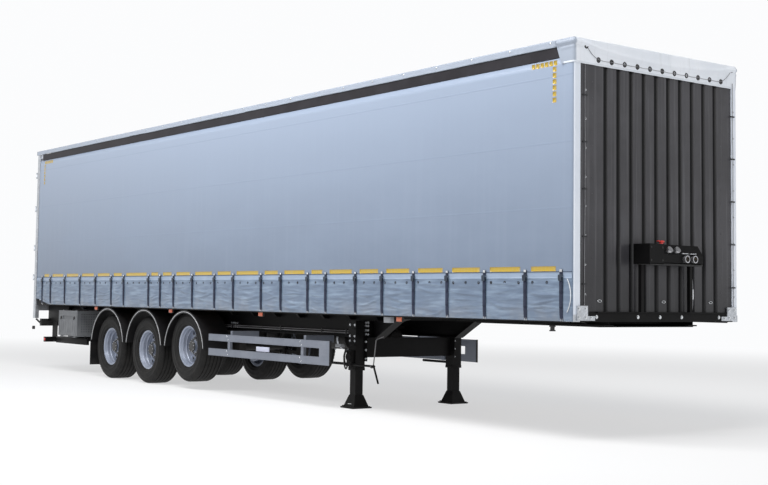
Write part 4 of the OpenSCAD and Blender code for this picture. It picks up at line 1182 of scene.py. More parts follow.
def oval_clip(y, z):
    """A pressed oval loop, 52 by 22 mm: a thin rounded bar carried round an ellipse."""
    t = np.linspace(0, 2 * np.pi, 32, endpoint=False)
    s = np.linspace(0, 2 * np.pi, 8, endpoint=False)
    ring = np.stack([0 * t, np.cos(t), 0.45 * np.sin(t)], -1)
    core = ring * 0.026
    away = ring[:, None] / np.linalg.norm(ring, axis=1)[:, None, None]
    turn = np.cos(s)[None, :, None] * away + np.sin(s)[None, :, None] * np.array([1.0, 0, 0])
    points = core[:, None] + 0.004 * turn
    shape = outward((points.reshape(-1, 3), grid_faces(32, 8, True, True).tolist()))
    return shape[0] + [WALL_X + 0.006, y, z], shape[1]


make_joined("wall_clips", [oval_clip(y, 1.385) for y in (-0.900, 0.058, 0.819)], STEEL_BRIGHT)


# %% Coupling cabinet
BOX_X = high("connection_box")[0]
BOX_TOP = high("connection_box")[2]


def palm_coupling(y, z, x, tone, name):
    """A turned coupling head with a coloured cover flap and a finger lever."""
    body = [(0.0, 0.0), (0.020, 0.0), (0.020, 0.016), (0.030, 0.020), (0.033, 0.028), (0.031, 0.036),
            (0.012, 0.040), (0.0, 0.040)]
    head = outward(turned_shape(body, (x, y, z), "z", 28, 1))
    lever = box_shape((x - 0.010, y - 0.055, z + 0.026), (x + 0.010, y + 0.020, z + 0.034))
    grip = outward(tube_shape([(x, y - 0.050, z + 0.030), (x + 0.012, y - 0.062, z + 0.034),
            (x + 0.026, y - 0.064, z + 0.034)], 0.006, 10))
    piece = make_joined(name, [head, lever, grip],
                        finish(name + "_paint", tone, rough=0.32, coat=0.5, mottle=12.0))
    return sharp_by_angle(piece, 0.6)


palm_coupling(-0.165, BOX_TOP - 0.0005, BOX_X - 0.060, (0.55, 0.02, 0.015), "supply_coupling")


def cabinet_details():
    """Bolts down the cabinet's left edge and a folded lower flange."""
    z0 = low("connection_box")[2] + 0.49
    bolts = hex_bolts([(BOX_X, -0.385, 1.805), (BOX_X, -0.385, 1.935), (BOX_X, -0.215, 1.805),
                       (BOX_X, -0.215, 1.935)],
                      "x", 1, 0.013, 0.007, 0.011)
    flange = box_shape((BOX_X - 0.150, -0.405, z0 - 0.010), (BOX_X - 0.004, 0.415, z0 - 0.0045))
    strip = box_shape((BOX_X - 0.004, -0.405, z0 - 0.010), (BOX_X, 0.415, z0 + 0.004))
    return join_parts([bolts, flange, strip])


sharp_by_angle(make_mesh("cabinet_fittings", *cabinet_details(), FINISHES["buffer_rubber"]), 0.5)
SOCKETS = [(high("couplings")[0], y, 1.827) for y in (0.135, 0.260)]


def socket_inner(place):
    """The insert inside a socket: a shallow dish with a raised centre and a ring of contacts."""
    x, y, z = place
    dish = outward(turned_shape([(0.0, 0.0), (0.0295, 0.0), (0.0295, 0.004), (0.026, 0.006), (0.012, 0.006),
            (0.010, 0.010), (0.0, 0.010)],
                                (x - 0.024, y, z), "x", 24, 1))
    t = np.linspace(0, 2 * np.pi, 7, endpoint=False)
    pins = dome_at(np.column_stack([np.full(7, x - 0.018), y + 0.019 * np.cos(t), z + 0.019 * np.sin(t)]),
                   "x", 1, 0.0028, 0.009, 8)
    return dish, pins


inserts = [socket_inner(p) for p in SOCKETS]
make_joined("socket_inserts", [i[0] for i in inserts], DARK_HOLE)
make_joined("socket_contacts", [i[1] for i in inserts],
            finish("brass", (0.62, 0.44, 0.16), rough=0.3, metal=0.95))
lids = join_parts([outward(turned_shape([(0.0, 0.0), (0.040, 0.0), (0.041, 0.004), (0.037, 0.009),
        (0.0, 0.011)],
                                        (x - 0.042, y, z + 0.052), "z", 28, 1)) for x, y, z in SOCKETS])
sharp_by_angle(make_mesh("socket_lids", *lids,
                         finish("grey_cover", (0.36, 0.37, 0.39), rough=0.4, coat=0.2)), 0.6)

sleeve_z = np.linspace(1.765, 1.285, 60)
cable = np.column_stack([np.full(60, WALL_X + 0.012) + 0.008 * np.sin(np.linspace(0, np.pi, 60)),
                         0.470 + 0.020 * np.sin(np.linspace(0, np.pi, 60)) + 0.030 * np.linspace(0, 1, 60),
                         sleeve_z])
make_mesh("panel_cable", *outward(tube_shape(cable, 0.0075, 12)), CORD)
make_mesh("panel_cable_sleeve", *outward(tube_shape(cable[30:44], 0.0105, 14)),
          finish("white_sleeve", (0.62, 0.63, 0.65), rough=0.45))
print("front wall done")

# %% [markdown]
# ## Wheels
# Every wheel is the same wheel. Its tyre is one turned outline with five straight grooves, plus
# rings and small blocks round the shoulders; its rim keeps the ready-made shape and gains a
# stepped edge, ten hand holes, ten nuts, a hub cap and a valve.

# %% Tyres
WHEELS = [(place, side) for place in ("rear", "middle", "front") for side in ("right", "left")]
TYRE_R = (high("tyre_rear_right")[2] - low("tyre_rear_right")[2]) / 2
RIM_R = (high("rim_rear_right")[2] - low("rim_rear_right")[2]) / 2
TYRE_HALF = (high("tyre_rear_right")[1] - low("tyre_rear_right")[1]) / 2


def tyre_outline():
    """Radius and place along the axle, from the inner bead over the tread to the outer bead.

    The tread is cut by five grooves, 13 mm wide above, 7 mm below and 12 mm deep; the wall
    bulges in a smooth arc and carries three raised rings; the outline closes on the rim's seat.
    """
    w, r = TYRE_HALF, TYRE_R
    tread = []
    for g in (-0.118, -0.060, 0.0, 0.060, 0.118):
        tread += [(r - 0.0005, g - 0.0065), (r - 0.012, g - 0.0035), (r - 0.012, g + 0.0035),
                  (r - 0.0005, g + 0.0065)]
    crown = [(p[0] - 0.0030 * (abs(p[1]) / 0.12) ** 2, p[1]) for p in tread]
    wall = [(r - 0.0045, 0.136), (r - 0.010, 0.152), (r - 0.024, 0.165), (r - 0.040, w - 0.020),
            (r - 0.044, w - 0.017),
            (r - 0.050, w - 0.0165), (r - 0.054, w - 0.0115), (r - 0.080, w - 0.0055),
            (r - 0.084, w - 0.0030),
            (r - 0.088, w - 0.0050), (r - 0.120, w - 0.0005), (r - 0.150, w - 0.0020),
            (r - 0.154, w - 0.0005),
            (r - 0.158, w - 0.0035), (RIM_R + 0.030, w - 0.014), (RIM_R + 0.024, w - 0.0135),
            (RIM_R + 0.020, w - 0.022),
            (RIM_R + 0.004, w - 0.034), (RIM_R + 0.0015, w - 0.046), (RIM_R - 0.001, w - 0.052),
            (RIM_R - 0.012, w - 0.060)]
    back = [(a, -b) for a, b in wall[::-1]]
    return back + crown + wall


def shoulder_blocks(centre, count=64):
    """Small ribs across the shoulders: each is a block that follows the tyre's edge."""
    t = np.linspace(0, 2 * np.pi, count, endpoint=False)
    half = np.pi / count * 0.62
    parts_p, parts_f = [], []
    r0, r1, r2 = TYRE_R - 0.030, TYRE_R - 0.0075, TYRE_R - 0.0018
    for s in (-1, 1):
        a0, a1, a2 = s * (TYRE_HALF - 0.0175), s * 0.1485, s * 0.130
        section = np.array([(r0, a0), (r1, a1), (r2, a2), (r2 - 0.012, a2), (r0 - 0.006, a0 - s * 0.010)])
        ang = np.stack([t - half, t + half], -1)
        pts = np.stack([section[:, 0][None, None] * np.cos(ang)[..., None],
                        np.broadcast_to(section[:, 1][None, None], (count, 2, 5)),
                        section[:, 0][None, None] * np.sin(ang)[..., None]], -1)
        base = np.array([[i, (i + 1) % 5, 5 + (i + 1) % 5, 5 + i] for i in range(5)])
        one = base.tolist() + [[4, 3, 2, 1, 0], [5, 6, 7, 8, 9]]
        if s < 0:
            one = [f[::-1] for f in one]
        parts_p.append(pts.reshape(-1, 3))
        parts_f.append([[k + 10 * i for k in f] for i in range(count) for f in one])
    points, faces = join_parts(list(zip(parts_p, parts_f)))
    return outward((points + np.asarray(centre), faces))


def wheel_centre(place, side):
    a, b = low(f"tyre_{place}_{side}"), high(f"tyre_{place}_{side}")
    return (a + b) / 2


for place, side in WHEELS:
    centre = wheel_centre(place, side)
    out = -1 if side == "right" else 1
    tyre = make_mesh(f"tread_{place}_{side}", *outward(turned_shape(tyre_outline(), centre, "y", 112, out)),
                     FINISHES["tyre"], f"wheel_{place}_{side}")
    sharp_by_angle(tyre, 0.7)
    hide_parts(f"tyre_{place}_{side}")
    make_mesh(f"shoulder_{place}_{side}", *shoulder_blocks(centre), FINISHES["tyre"],
              f"wheel_{place}_{side}", smooth=False)
print("tyre radius", round(TYRE_R, 3))

# %% [markdown]
# The rim's face is built from rings and swarms placed round the axle. Distances along the axle
# are measured outwards from the tyre's middle plane.

# %% Rim faces, nuts and hubs
HUB = finish("hub_paint", (0.010, 0.010, 0.011), (0.022, 0.022, 0.023), 0.45, 0.2, dust=0.1, coat=0.2)
NUT = finish("wheel_nuts", (0.52, 0.54, 0.57), (0.66, 0.68, 0.70), 0.28, 0.14, metal=0.95, mottle=40.0)


def round_swarm(shape, centre, radius, count, along, out, turn=0.0):
    """Copies of a shape (built about the axle line, pointing along +Y) round the axle."""
    points, faces = np.asarray(shape[0], float), shape[1]
    t = np.linspace(0, 2 * np.pi, count, endpoint=False) + turn
    moved = np.stack([points[None, :, 0] + radius * np.cos(t)[:, None],
                      np.broadcast_to(out * (points[:, 1] + along)[None], (count, len(points))),
                      points[None, :, 2] + radius * np.sin(t)[:, None]], -1)
    n = len(points)
    flipped = [f[::-1] for f in faces] if out < 0 else faces
    return moved.reshape(-1, 3) + np.asarray(centre), [[k + n * i for k in f] for i in range(count)
            for f in flipped]


def wheel_nut():
    """A 33 mm hexagon with a flange washer, a domed end and the stud's tip."""
    flange = turned_shape([(0.0, 0.0), (0.024, 0.0), (0.024, 0.004), (0.021, 0.006), (0.0, 0.006)],
                          (0, 0, 0), "y", 18, 1)
    head = turned_shape([(0.0, 0.006), (0.019, 0.006), (0.019, 0.026), (0.016, 0.030), (0.0, 0.030)],
                        (0, 0, 0), "y", 6, 1)
    stud = turned_shape([(0.0, 0.028), (0.0105, 0.028), (0.0105, 0.042), (0.009, 0.044), (0.0, 0.044)],
                        (0, 0, 0), "y", 12, 1)
    return join_parts([outward(flange), outward(head), outward(stud)])


def hand_hole():
    """A dark oval recess in the dished disc with a rolled lip; the dark cup is painted shade for the hole.
    """
    lip = turned_shape([(0.0230, -0.004), (0.0275, -0.002), (0.0285, 0.002), (0.0265, 0.004),
                        (0.0235, 0.003)], (0, 0, 0), "y", 20, 1)
    cup = turned_shape([(0.0, -0.004), (0.0238, -0.004), (0.0238, 0.0026), (0.0, 0.0014)],
                       (0, 0, 0), "y", 20, 1)
    return outward(lip), outward(cup)


def rim_rings():
    """Closed turned sections laid on the barrel: a rolled flange edge and two raised steps."""
    w = 0.1475
    rings = [[(RIM_R - 0.006, w - 0.010), (RIM_R + 0.0035, w - 0.006), (RIM_R + 0.0045, w - 0.001),
              (RIM_R + 0.0005, w + 0.0015),
              (RIM_R - 0.006, w - 0.001), (RIM_R - 0.0105, w - 0.006)],
             [(0.2665, 0.106), (0.2735, 0.109), (0.2745, 0.100), (0.2705, 0.094), (0.2635, 0.098)],
             [(0.2560, 0.050), (0.2625, 0.056), (0.2640, 0.044), (0.2560, 0.036), (0.2530, 0.044)]]
    return rings


for place, side in WHEELS:
    centre = wheel_centre(place, side)
    out = -1 if side == "right" else 1
    body = f"wheel_{place}_{side}"
    rings = join_parts([outward(turned_shape(r, centre, "y", 72, out)) for r in rim_rings()])
    sharp_by_angle(make_mesh("rim_rings_" + place + "_" + side, *rings, FINISHES["rim_silver"], body), 0.7)
    lip, cup = hand_hole()
    make_mesh("hand_hole_lips_" + place + "_" + side,
              *round_swarm(lip, centre, 0.2230, 10, -0.008, out, 0.31), FINISHES["rim_silver"], body)
    make_mesh("hand_holes_" + place + "_" + side, *round_swarm(cup, centre, 0.2230, 10, -0.008, out, 0.31),
              DARK_HOLE, body)
    sharp_by_angle(make_mesh("wheel_nuts_" + place + "_" + side,
                             *round_swarm(wheel_nut(), centre, 0.1675, 10, -0.0125, out), NUT, body), 0.6)
    drum = [(0.0, 0.030), (0.140, 0.030), (0.142, -0.004), (0.140, -0.010), (0.0, -0.010)]
    cap = [(0.0, 0.090), (0.088, 0.090), (0.088, 0.098), (0.082, 0.104), (0.060, 0.108), (0.056, 0.112),
           (0.0, 0.114)]
    ridge = [(0.095, 0.030), (0.122, 0.030), (0.120, 0.052), (0.112, 0.056), (0.100, 0.056)]
    hub = join_parts([outward(turned_shape(o, centre, "y", 48, out)) for o in (drum, cap, ridge)])
    sharp_by_angle(make_mesh("hub_" + place + "_" + side, *hub, HUB, body), 0.6)
    small = turned_shape([(0.0, 0.0), (0.0075, 0.0), (0.0075, 0.006), (0.0, 0.006)], (0, 0, 0), "y", 6, 1)
    hub_bolts = join_parts([round_swarm(outward(small), centre, 0.074, 8, 0.1035, out, 0.2),
                            round_swarm(outward(small), centre, 0.109, 12, 0.0555, out, 0.1)])
    make_mesh("hub_bolts_" + place + "_" + side, *hub_bolts, NUT, body, smooth=False)
    stem = np.array([(0.246, 0.020), (0.247, 0.045), (0.243, 0.070), (0.236, 0.088)])
    stem_path = np.column_stack([stem[:, 0] * np.cos(1.1), out * stem[:, 1],
            stem[:, 0] * np.sin(1.1)]) + centre
    make_mesh("valve_" + place + "_" + side, *outward(tube_shape(stem_path, 0.0042, 8)), NUT, body)
print("wheels done")

# %% [markdown]
# ## Mudguards and what hangs near them
# A pale trim line follows each guard's outer edge, and a ribbed anti-spray mat lines the flap.

# %% Guard trims and flaps
GUARD_Y = high("mudguards")[1]
GUARD_R = 0.5955


def guard_trim(centre_x, centre_z, side, start, stop):
    """A flat moulding on an arc: its section is 9 by 4 mm with a rounded outer face."""
    t = np.linspace(start, stop, 60)
    section = np.array([(-0.0045, 0.0), (-0.0040, 0.0030), (0.0, 0.0042), (0.0040, 0.0030), (0.0045, 0.0)])
    r = GUARD_R + section[:, 0][None]
    x = centre_x + r * np.cos(t)[:, None]
    z = centre_z + r * np.sin(t)[:, None]
    y = np.broadcast_to(side * (GUARD_Y + section[:, 1])[None], x.shape)
    points = np.stack([x, y, z], -1).reshape(-1, 3)
    faces = grid_faces(60, 5, wrap_cols=True).tolist() + [[4, 3, 2, 1, 0], list(range(295, 300))]
    return outward((points, faces))


TRIM = finish("guard_trim", (0.42, 0.43, 0.45), (0.55, 0.56, 0.58), 0.45, dust=0.1)
guard_z = TYRE_R + 0.018
axle_xs = [wheel_centre(p, "right")[0] for p in ("rear", "middle", "front")]
trims = [guard_trim(x, guard_z, s, 0.13, np.pi - 0.13) for x in axle_xs for s in (-1, 1)]
make_joined("guard_trims", trims, TRIM)
flap_x = low("mudguards")[0]


def flap_ribs(side):
    """Vertical ribs on the back of the flap, 6 mm wide every 16 mm."""
    ys = np.arange(0.83, 1.22, 0.016)
    rib = box_shape((0, -0.003, 0), (0.0035, 0.003, 0.44))
    return swarm(rib, np.column_stack([np.full(len(ys), flap_x - 0.0035), side * ys,
                                       np.full(len(ys), 0.215)]))


make_joined("flap_ribs", [flap_ribs(-1), flap_ribs(1)], FINISHES["guard_plastic"], smooth=False)
print("guards done")

# %% [markdown]
# ## Frame, guards and legs
# Bolts, brackets, pipes and hoses belong to the steel frame. Pipes are tubes carried along a
# path; rows of equal things, such as bolts and rivets, are swarms.

# %% Toolbox, side guards and marker lamps
BOX_HIGH = high("toolbox")
LID_Y = low("toolbox_lid")[1]
LID_X0, LID_X1 = low("toolbox_lid")[0], high("toolbox_lid")[0]


def lid_details():
    """Raised ribs pressed into the lid and a rim."""
    ribs = [box_shape((x, LID_Y - 0.0040, 0.700), (x + 0.026, LID_Y + 0.002, 0.905))
            for x in np.linspace(LID_X0 + 0.085, LID_X1 - 0.111, 7)]
    frame_bars = [box_shape((LID_X0 + 0.030, LID_Y - 0.0030, 0.668),
                            (LID_X1 - 0.030, LID_Y + 0.002, 0.680)),
                  box_shape((LID_X0 + 0.030, LID_Y - 0.0030, 1.036),
                            (LID_X1 - 0.030, LID_Y + 0.002, 1.048)),
                  box_shape((LID_X0 + 0.030, LID_Y - 0.0030, 0.668),
                            (LID_X0 + 0.042, LID_Y + 0.002, 1.048)),
                  box_shape((LID_X1 - 0.042, LID_Y - 0.0030, 0.668),
                            (LID_X1 - 0.030, LID_Y + 0.002, 1.048))]
    return join_parts(ribs + frame_bars)


def latches():
    """Two dark over-centre latches beside the grip."""
    parts = []
    for x in (LID_X0 + 0.120, LID_X1 - 0.120):
        parts.append(outward(turned_shape([(0.0, 0.0), (0.026, 0.0), (0.026, 0.004), (0.020, 0.008),
                (0.0, 0.008)],
                                          (x, LID_Y - 0.0005, 0.960), "y", 24, -1)))
        parts.append(box_shape((x - 0.006, LID_Y - 0.017, 0.925), (x + 0.006, LID_Y - 0.007, 0.975)))
    return join_parts(parts)


finish_edges(make_mesh("lid_ribs", *lid_details(), FINISHES["box_plastic"], "box_lid"), 0.0015)
sharp_by_angle(make_mesh("lid_latches", *latches(), FINISHES["buffer_rubber"], "box_lid"), 0.5)


def box_vents():
    """Rows of small round vents on the box's forward side, each a dark disc of painted shade."""
    y, z = np.meshgrid(np.linspace(-1.13, -0.86, 7), np.linspace(0.72, 1.02, 8))
    places = np.column_stack([np.full(y.size, BOX_HIGH[0]), y.ravel(), z.ravel()])
    ring = outward(turned_shape([(0.0, 0.0), (0.010, 0.0), (0.010, 0.0012), (0.0, 0.0012)], (0, 0, 0), "x",
            10, 1))
    return swarm(ring, places)


make_mesh("toolbox_vents", *box_vents(), DARK_HOLE, smooth=False)
box_bands = [box_shape((x, -1.190, 0.632), (x + 0.030, -0.760, 0.640))
             for x in (LID_X0 + 0.10, LID_X1 - 0.14)]
box_bands += [box_shape((x, -1.187, 1.080), (x + 0.030, -0.775, 1.0865))
              for x in (LID_X0 + 0.10, LID_X1 - 0.14)]
make_joined("toolbox_bands", box_bands, FINISHES["galvanised"], smooth=False)

SG_X0, SG_X1 = low("side_guards")[0], high("side_guards")[0]
SG_Y = high("side_guards")[1]
RAILS = [(0.533, 0.632), (0.741, 0.836)]


def guard_fittings():
    """Slot lines of the extrusion and pairs of round-headed bolts at every upright."""
    bolts, lines = [], []
    for z0, z1 in RAILS:
        for x in (REAR + 6.978, REAR + 8.826):
            bolts += [(x - 0.014, SG_Y, (z0 + z1) / 2 + 0.022), (x + 0.014, SG_Y, (z0 + z1) / 2 - 0.022)]
        for z in (z0 + 0.012, z1 - 0.014):
            lines.append(box_shape((SG_X0 + 0.002, SG_Y - 0.0010, z),
                    (SG_X1 - 0.232, SG_Y + 0.0012, z + 0.0028)))
    heads = dome_at(bolts, "y", 1, 0.010, 0.006)
    return heads, join_parts(lines)


heads, lines = guard_fittings()
make_mesh("side_guard_bolts", *mirrored(heads), STEEL_BRIGHT)
make_mesh("side_guard_lines", *mirrored(lines), FINISHES["guard_aluminium"], smooth=False)
caps = [box_shape((SG_X0 - 0.006, SG_Y - 0.027, z0 - 0.002), (SG_X0 + 0.004, SG_Y + 0.002, z1 + 0.002))
        for z0, z1 in RAILS]
caps += [box_shape((SG_X1 - 0.002, SG_Y - 0.027, RAILS[0][0] - 0.002),
                   (SG_X1 + 0.005, SG_Y + 0.002, RAILS[1][1] + 0.002))]
make_mesh("side_guard_caps", *mirrored(join_parts(caps)), FINISHES["guard_plastic"], smooth=False)
blank = box_shape((REAR + 7.75, -SG_Y - 0.0030, 0.640), (REAR + 8.07, -SG_Y + 0.0100, 0.704))
finish_edges(make_mesh("blank_plate", *blank,
                       finish("plate_film", (0.42, 0.44, 0.56), (0.5, 0.52, 0.62), 0.35, coat=0.3)), 0.002)


def marker_details():
    """A domed amber lens with moulded ribs on a black foot, for each side marker."""
    points = np.array([v.co[:] for v in frame["nodes"]["side_markers"].data.vertices])
    xs = np.unique(np.round(points[:, 0], 3)).reshape(-1, 2).mean(1)
    z0, z1 = points[:, 2].min(), points[:, 2].max()
    y = points[:, 1].max()
    v = np.linspace(0, np.pi, 9)
    section = np.stack([y + 0.006 * np.sin(v), (z0 + z1) / 2 - 0.020 * np.cos(v)], -1)
    section = np.concatenate([section, [[y - 0.002, z1 - 0.005], [y - 0.002, z0 + 0.005]]])
    lens = outward(slab_shape(section, -0.044, 0.044))
    rib = outward(slab_shape(np.column_stack([section[:9, 0] + 0.0014, section[:9, 1]]), -0.0012, 0.0012))
    places = np.column_stack([xs, 0 * xs, 0 * xs])
    ribs = swarm(swarm(rib, [(x, 0, 0) for x in np.linspace(-0.034, 0.034, 7)]), places)
    foot = swarm(box_shape((-0.056, y - 0.030, z0 - 0.006), (0.056, y - 0.0015, z1 - 0.001)), places)
    return mirrored(swarm(lens, places)), mirrored(ribs), mirrored(foot)


lens, ribs, foot = marker_details()
sharp_by_angle(make_mesh("marker_lenses", *lens, FINISHES["lamp_amber"]), 0.6)
make_mesh("marker_ribs", *ribs, FINISHES["lamp_amber"])
make_mesh("marker_feet", *foot, FINISHES["buffer_rubber"], smooth=False)


# %% Frame bolts, rave edge, hooks and pipes
def frame_bolts():
    """Bolts where the outriggers, hangers and legs meet the beams."""
    places = []
    for s in (-1, 1):
        for x in axle_xs:
            for dx in (0.395, 0.455, 0.505, 0.565):
                places.append((x + dx, s * 0.6545, 0.930))
                places.append((x + dx, s * 0.6545, 0.985))
        for x in REAR + 9.470 + np.array([-0.135, -0.09, 0.09, 0.135]):
            for z in (0.925, 0.975, 1.030, 1.070):
                places.append((x, s * 0.7275, z))
        for z in (0.620, 0.725, 0.830):
            places.append((REAR + 9.565, s * 0.7275, z))
    right = [p for p in places if p[1] < 0]
    left = [p for p in places if p[1] > 0]
    return join_parts([hex_bolts(right, "y", -1, 0.024, 0.014, 0.018),
                       hex_bolts(left, "y", 1, 0.024, 0.014, 0.018)])


make_mesh("frame_bolts", *frame_bolts(), NUT, smooth=False)


def rave_rings():
    """Lashing slots along the side rave: a short dark slot with a lip each half metre; the dark is painted
    shade for the opening.
    """
    xs = np.arange(REAR + 0.35, FRONT - 0.35, 0.50)
    slot_part = box_shape((-0.030, -0.0005, -0.006), (0.030, 0.0015, 0.006))
    y = high("side_raves")[1]
    return mirrored(swarm(slot_part, np.column_stack([xs, np.full(len(xs), y), np.full(len(xs), 1.196)])))


make_mesh("rave_slots", *rave_rings(), DARK_HOLE, smooth=False)


def bent_path(points, bend=0.05, steps=7):
    """Straight runs joined by rounded bends: each corner is replaced by a quadratic curve that
    leaves and meets the runs at the distance bend from it."""
    p = [np.asarray(q, float) for q in points]
    out = [p[0]]
    for a, b, c in zip(p[:-2], p[1:-1], p[2:]):
        u = (a - b) / np.linalg.norm(a - b)
        v = (c - b) / np.linalg.norm(c - b)
        d = min(bend, 0.45 * np.linalg.norm(a - b), 0.45 * np.linalg.norm(c - b))
        t = np.linspace(0, 1, steps)[:, None]
        out += list((1 - t) ** 2 * (b + u * d) + 2 * t * (1 - t) * b + t ** 2 * (b + v * d))
    return np.array(out + [p[-1]])


def frame_pipe(points, radius, bend=0.05, sides=10):
    return outward(tube_shape(bent_path(points, bend), radius, sides))


X = lambda xb: REAR + xb
pipes = [frame_pipe([(X(2.3), s * 0.735, z), (X(9.20), s * 0.735, z)], r)
         for s, z, r in ((-1, 0.930, 0.008), (-1, 0.955, 0.006), (1, 0.930, 0.008))]
pipes.append(frame_pipe([(X(9.93), -0.730, 0.905), (X(9.93), -0.845, 0.870), (X(9.93), -0.875, 0.600),
                         (X(9.93), -0.885, 0.527), (X(9.93), -0.925, 0.527), (X(9.93), -0.925, 0.560)],
                         0.007, 0.02))
make_joined("frame_pipes", pipes,
            finish("grey_pipe", (0.10, 0.10, 0.105), (0.17, 0.17, 0.18), 0.5, dust=0.2))
clips = mirrored(join_parts([box_shape((X(x) - 0.012, 0.7205, 0.908), (X(x) + 0.012, 0.7445, 0.975))
                         for x in (2.5, 3.7, 5.0, 6.3, 7.6, 8.6, 9.15)]))
make_mesh("pipe_clips", *clips, FINISHES["guard_plastic"], smooth=False)


def hoses():
    """Black brake and air hoses: a sagging loop beside each axle and two loops behind the legs."""
    parts = []
    for x, z in zip(axle_xs, [wheel_centre(p, "right")[2] for p in ("rear", "middle", "front")]):
        for s in (-1, 1):
            t = np.linspace(0, 1, 26)
            path = np.column_stack([x + 0.178 + 0.10 * np.sin(np.pi * t) + 0.05 * t, s * (0.56 - 0.10 * t),
                                    z + 0.045 + (0.92 - z - 0.045) * t - 0.055 * np.sin(np.pi * t)])
            parts.append(outward(tube_shape(path, 0.009, 8)))
            path2 = path + [0.045, s * 0.022, 0.0]
            parts.append(outward(tube_shape(path2, 0.007, 8)))
    for dx, deep in ((0.0, 0.12), (0.07, 0.16)):
        t = np.linspace(0, np.pi, 26)
        path = np.column_stack([X(9.235) - 0.045 * np.cos(t) + 0.4 * dx, np.full(26, -0.790) - dx * 0.4,
                0.640 - deep * np.sin(t)])
        ends = [path[0] + [0, 0.03, 0.10]], [path[-1] + [0, 0.03, 0.10]]
        parts.append(outward(tube_shape(np.concatenate([ends[0], path, ends[1]]), 0.010, 8)))
    return join_parts(parts)


make_mesh("hoses", *hoses(), FINISHES["buffer_rubber"])

grey_boxes = [box_shape((X(9.18), -0.930, 0.750), (X(9.30), -0.870, 0.792)),
              box_shape((X(10.56), -1.215, 1.095), (X(10.69), -1.160, 1.164))]
finish_edges(make_joined("junction_boxes", grey_boxes,
                         finish("junction_grey", (0.24, 0.25, 0.27), (0.32, 0.33, 0.35), 0.5)), 0.003)


# %% Dark rails beside the toolbox
side_frame = [box_shape((X(0.120), -1.020, 0.870), (X(1.040), -0.960, 1.168)),
              box_shape((X(0.525), -1.030, 0.490), (X(1.860), -0.985, 0.600)),
              box_shape((X(1.120), -1.020, 0.598), (X(1.170), -0.990, 0.634)),
              box_shape((X(1.730), -1.020, 0.598), (X(1.780), -0.990, 0.634))]
finish_edges(make_joined("rear_side_rails", side_frame, FINISHES["chassis_black"]), 0.003)

# %% Landing legs
LEG_X = (low("leg_rams")[0] + high("leg_rams")[0]) / 2
LEG_Y, LEG_HALF = 0.80, 0.0725  # middle of a leg, and half its outer tube


def leg_details():
    """Collar round each tube's foot, ribs on the outer tube, and bolts on the tube and the foot."""
    steel, black = [], []
    for s in (-1, 1):
        y = s * LEG_Y
        w = 0.076
        black += [box_shape((LEG_X - w, y - w, 0.470), (LEG_X + w, y - LEG_HALF, 0.505)),
                  box_shape((LEG_X - w, y + LEG_HALF, 0.470), (LEG_X + w, y + w, 0.505)),
                  box_shape((LEG_X - w, y - w, 0.470), (LEG_X - LEG_HALF, y + w, 0.505)),
                  box_shape((LEG_X + LEG_HALF, y - w, 0.470), (LEG_X + w, y + w, 0.505))]
        face = y + s * LEG_HALF
        black += [box_shape((LEG_X - 0.060, min(face, face + s * 0.006), z),
                            (LEG_X + 0.060, max(face, face + s * 0.006), z + 0.020)) for z in (0.78, 0.98)]
        bolts = [(LEG_X + dx, face, z) for dx in (-0.05, 0.05) for z in (0.84, 0.90, 1.04)]
        steel.append(hex_bolts(bolts, "y", s, 0.019, 0.010, 0.015))
        foot_bolts = [(LEG_X + dx, y + dy, 0.0190) for dx in (-0.098, 0.098) for dy in (-0.098, 0.098)]
        steel.append(hex_bolts(foot_bolts, "z", 1, 0.019, 0.010, 0.015))
    return join_parts(steel), join_parts(black)


leg_steel, leg_black = leg_details()
make_mesh("leg_bolts", *leg_steel, NUT, smooth=False)
finish_edges(make_mesh("leg_collars", *leg_black, FINISHES["chassis_black"]), 0.0015)


def foot_label(side):
    """A small pale plate on the foot's sloping flank."""
    y0, z0, y1, z1 = LEG_Y + 0.102, 0.052, LEG_Y + 0.088, 0.075
    p = np.array([(LEG_X + dx, side * (y + k * 0.0015), z + k * 0.0018) for k in (0, 1) for dx, y, z in
                  ((-0.035, y0, z0), (0.035, y0, z0), (0.035, y1, z1), (-0.035, y1, z1))])
    return outward((p, [[0, 1, 2, 3], [7, 6, 5, 4], [0, 4, 5, 1], [1, 5, 6, 2], [2, 6, 7, 3],
                        [3, 7, 4, 0]]))


make_joined("foot_labels", [foot_label(-1), foot_label(1)],
            finish("label_white", (0.70, 0.71, 0.72), rough=0.4), smooth=False)
gear = [outward(turned_shape([(0.0, 0.0), (0.055, 0.0), (0.055, 0.012), (0.048, 0.018), (0.0, 0.018)],
                             (LEG_X, -0.9225, 0.640), "y", 32, -1))]
gear.append(hex_bolts([(LEG_X + dx, -0.9225, z) for dx in (-0.038, 0.038) for z in (0.545, 0.705)], "y", -1,
                      0.013, 0.008, 0.010))
sharp_by_angle(make_joined("gearbox_cover", gear, FINISHES["chassis_black"]), 0.5)

# %% [markdown]
# ## Running gear
# Bolts hold each axle to its arms, each arm has a shock absorber, and the air springs are
# rolled rubber bellows between two steel plates.

# %% Bellows, shock absorbers and brake chambers
ARM_Y = 0.56
axle_zs = [wheel_centre(p, "right")[2] for p in ("rear", "middle", "front")]


def bellows(x, y, z0, z1):
    """A rolled rubber bag: its outline is two rounded lobes between a piston and a top plate."""
    h = z1 - z0
    v = np.linspace(0, np.pi, 11)
    lobes = []
    for k in range(2):
        mid = z0 + 0.045 + (h - 0.065) * (k + 0.5) / 2
        half = (h - 0.065) / 4
        lobes += [(0.104 + 0.0225 * np.sin(a), mid - half * np.cos(a)) for a in v]
    outline = [(0.0, z0), (0.078, z0), (0.082, z0 + 0.040),
               (0.100, z0 + 0.044)] + lobes + [(0.094, z1 - 0.010), (0.094, z1), (0.0, z1)]
    return outward(turned_shape([(r, a) for r, a in outline], (x, y, 0), "z", 36, 1))


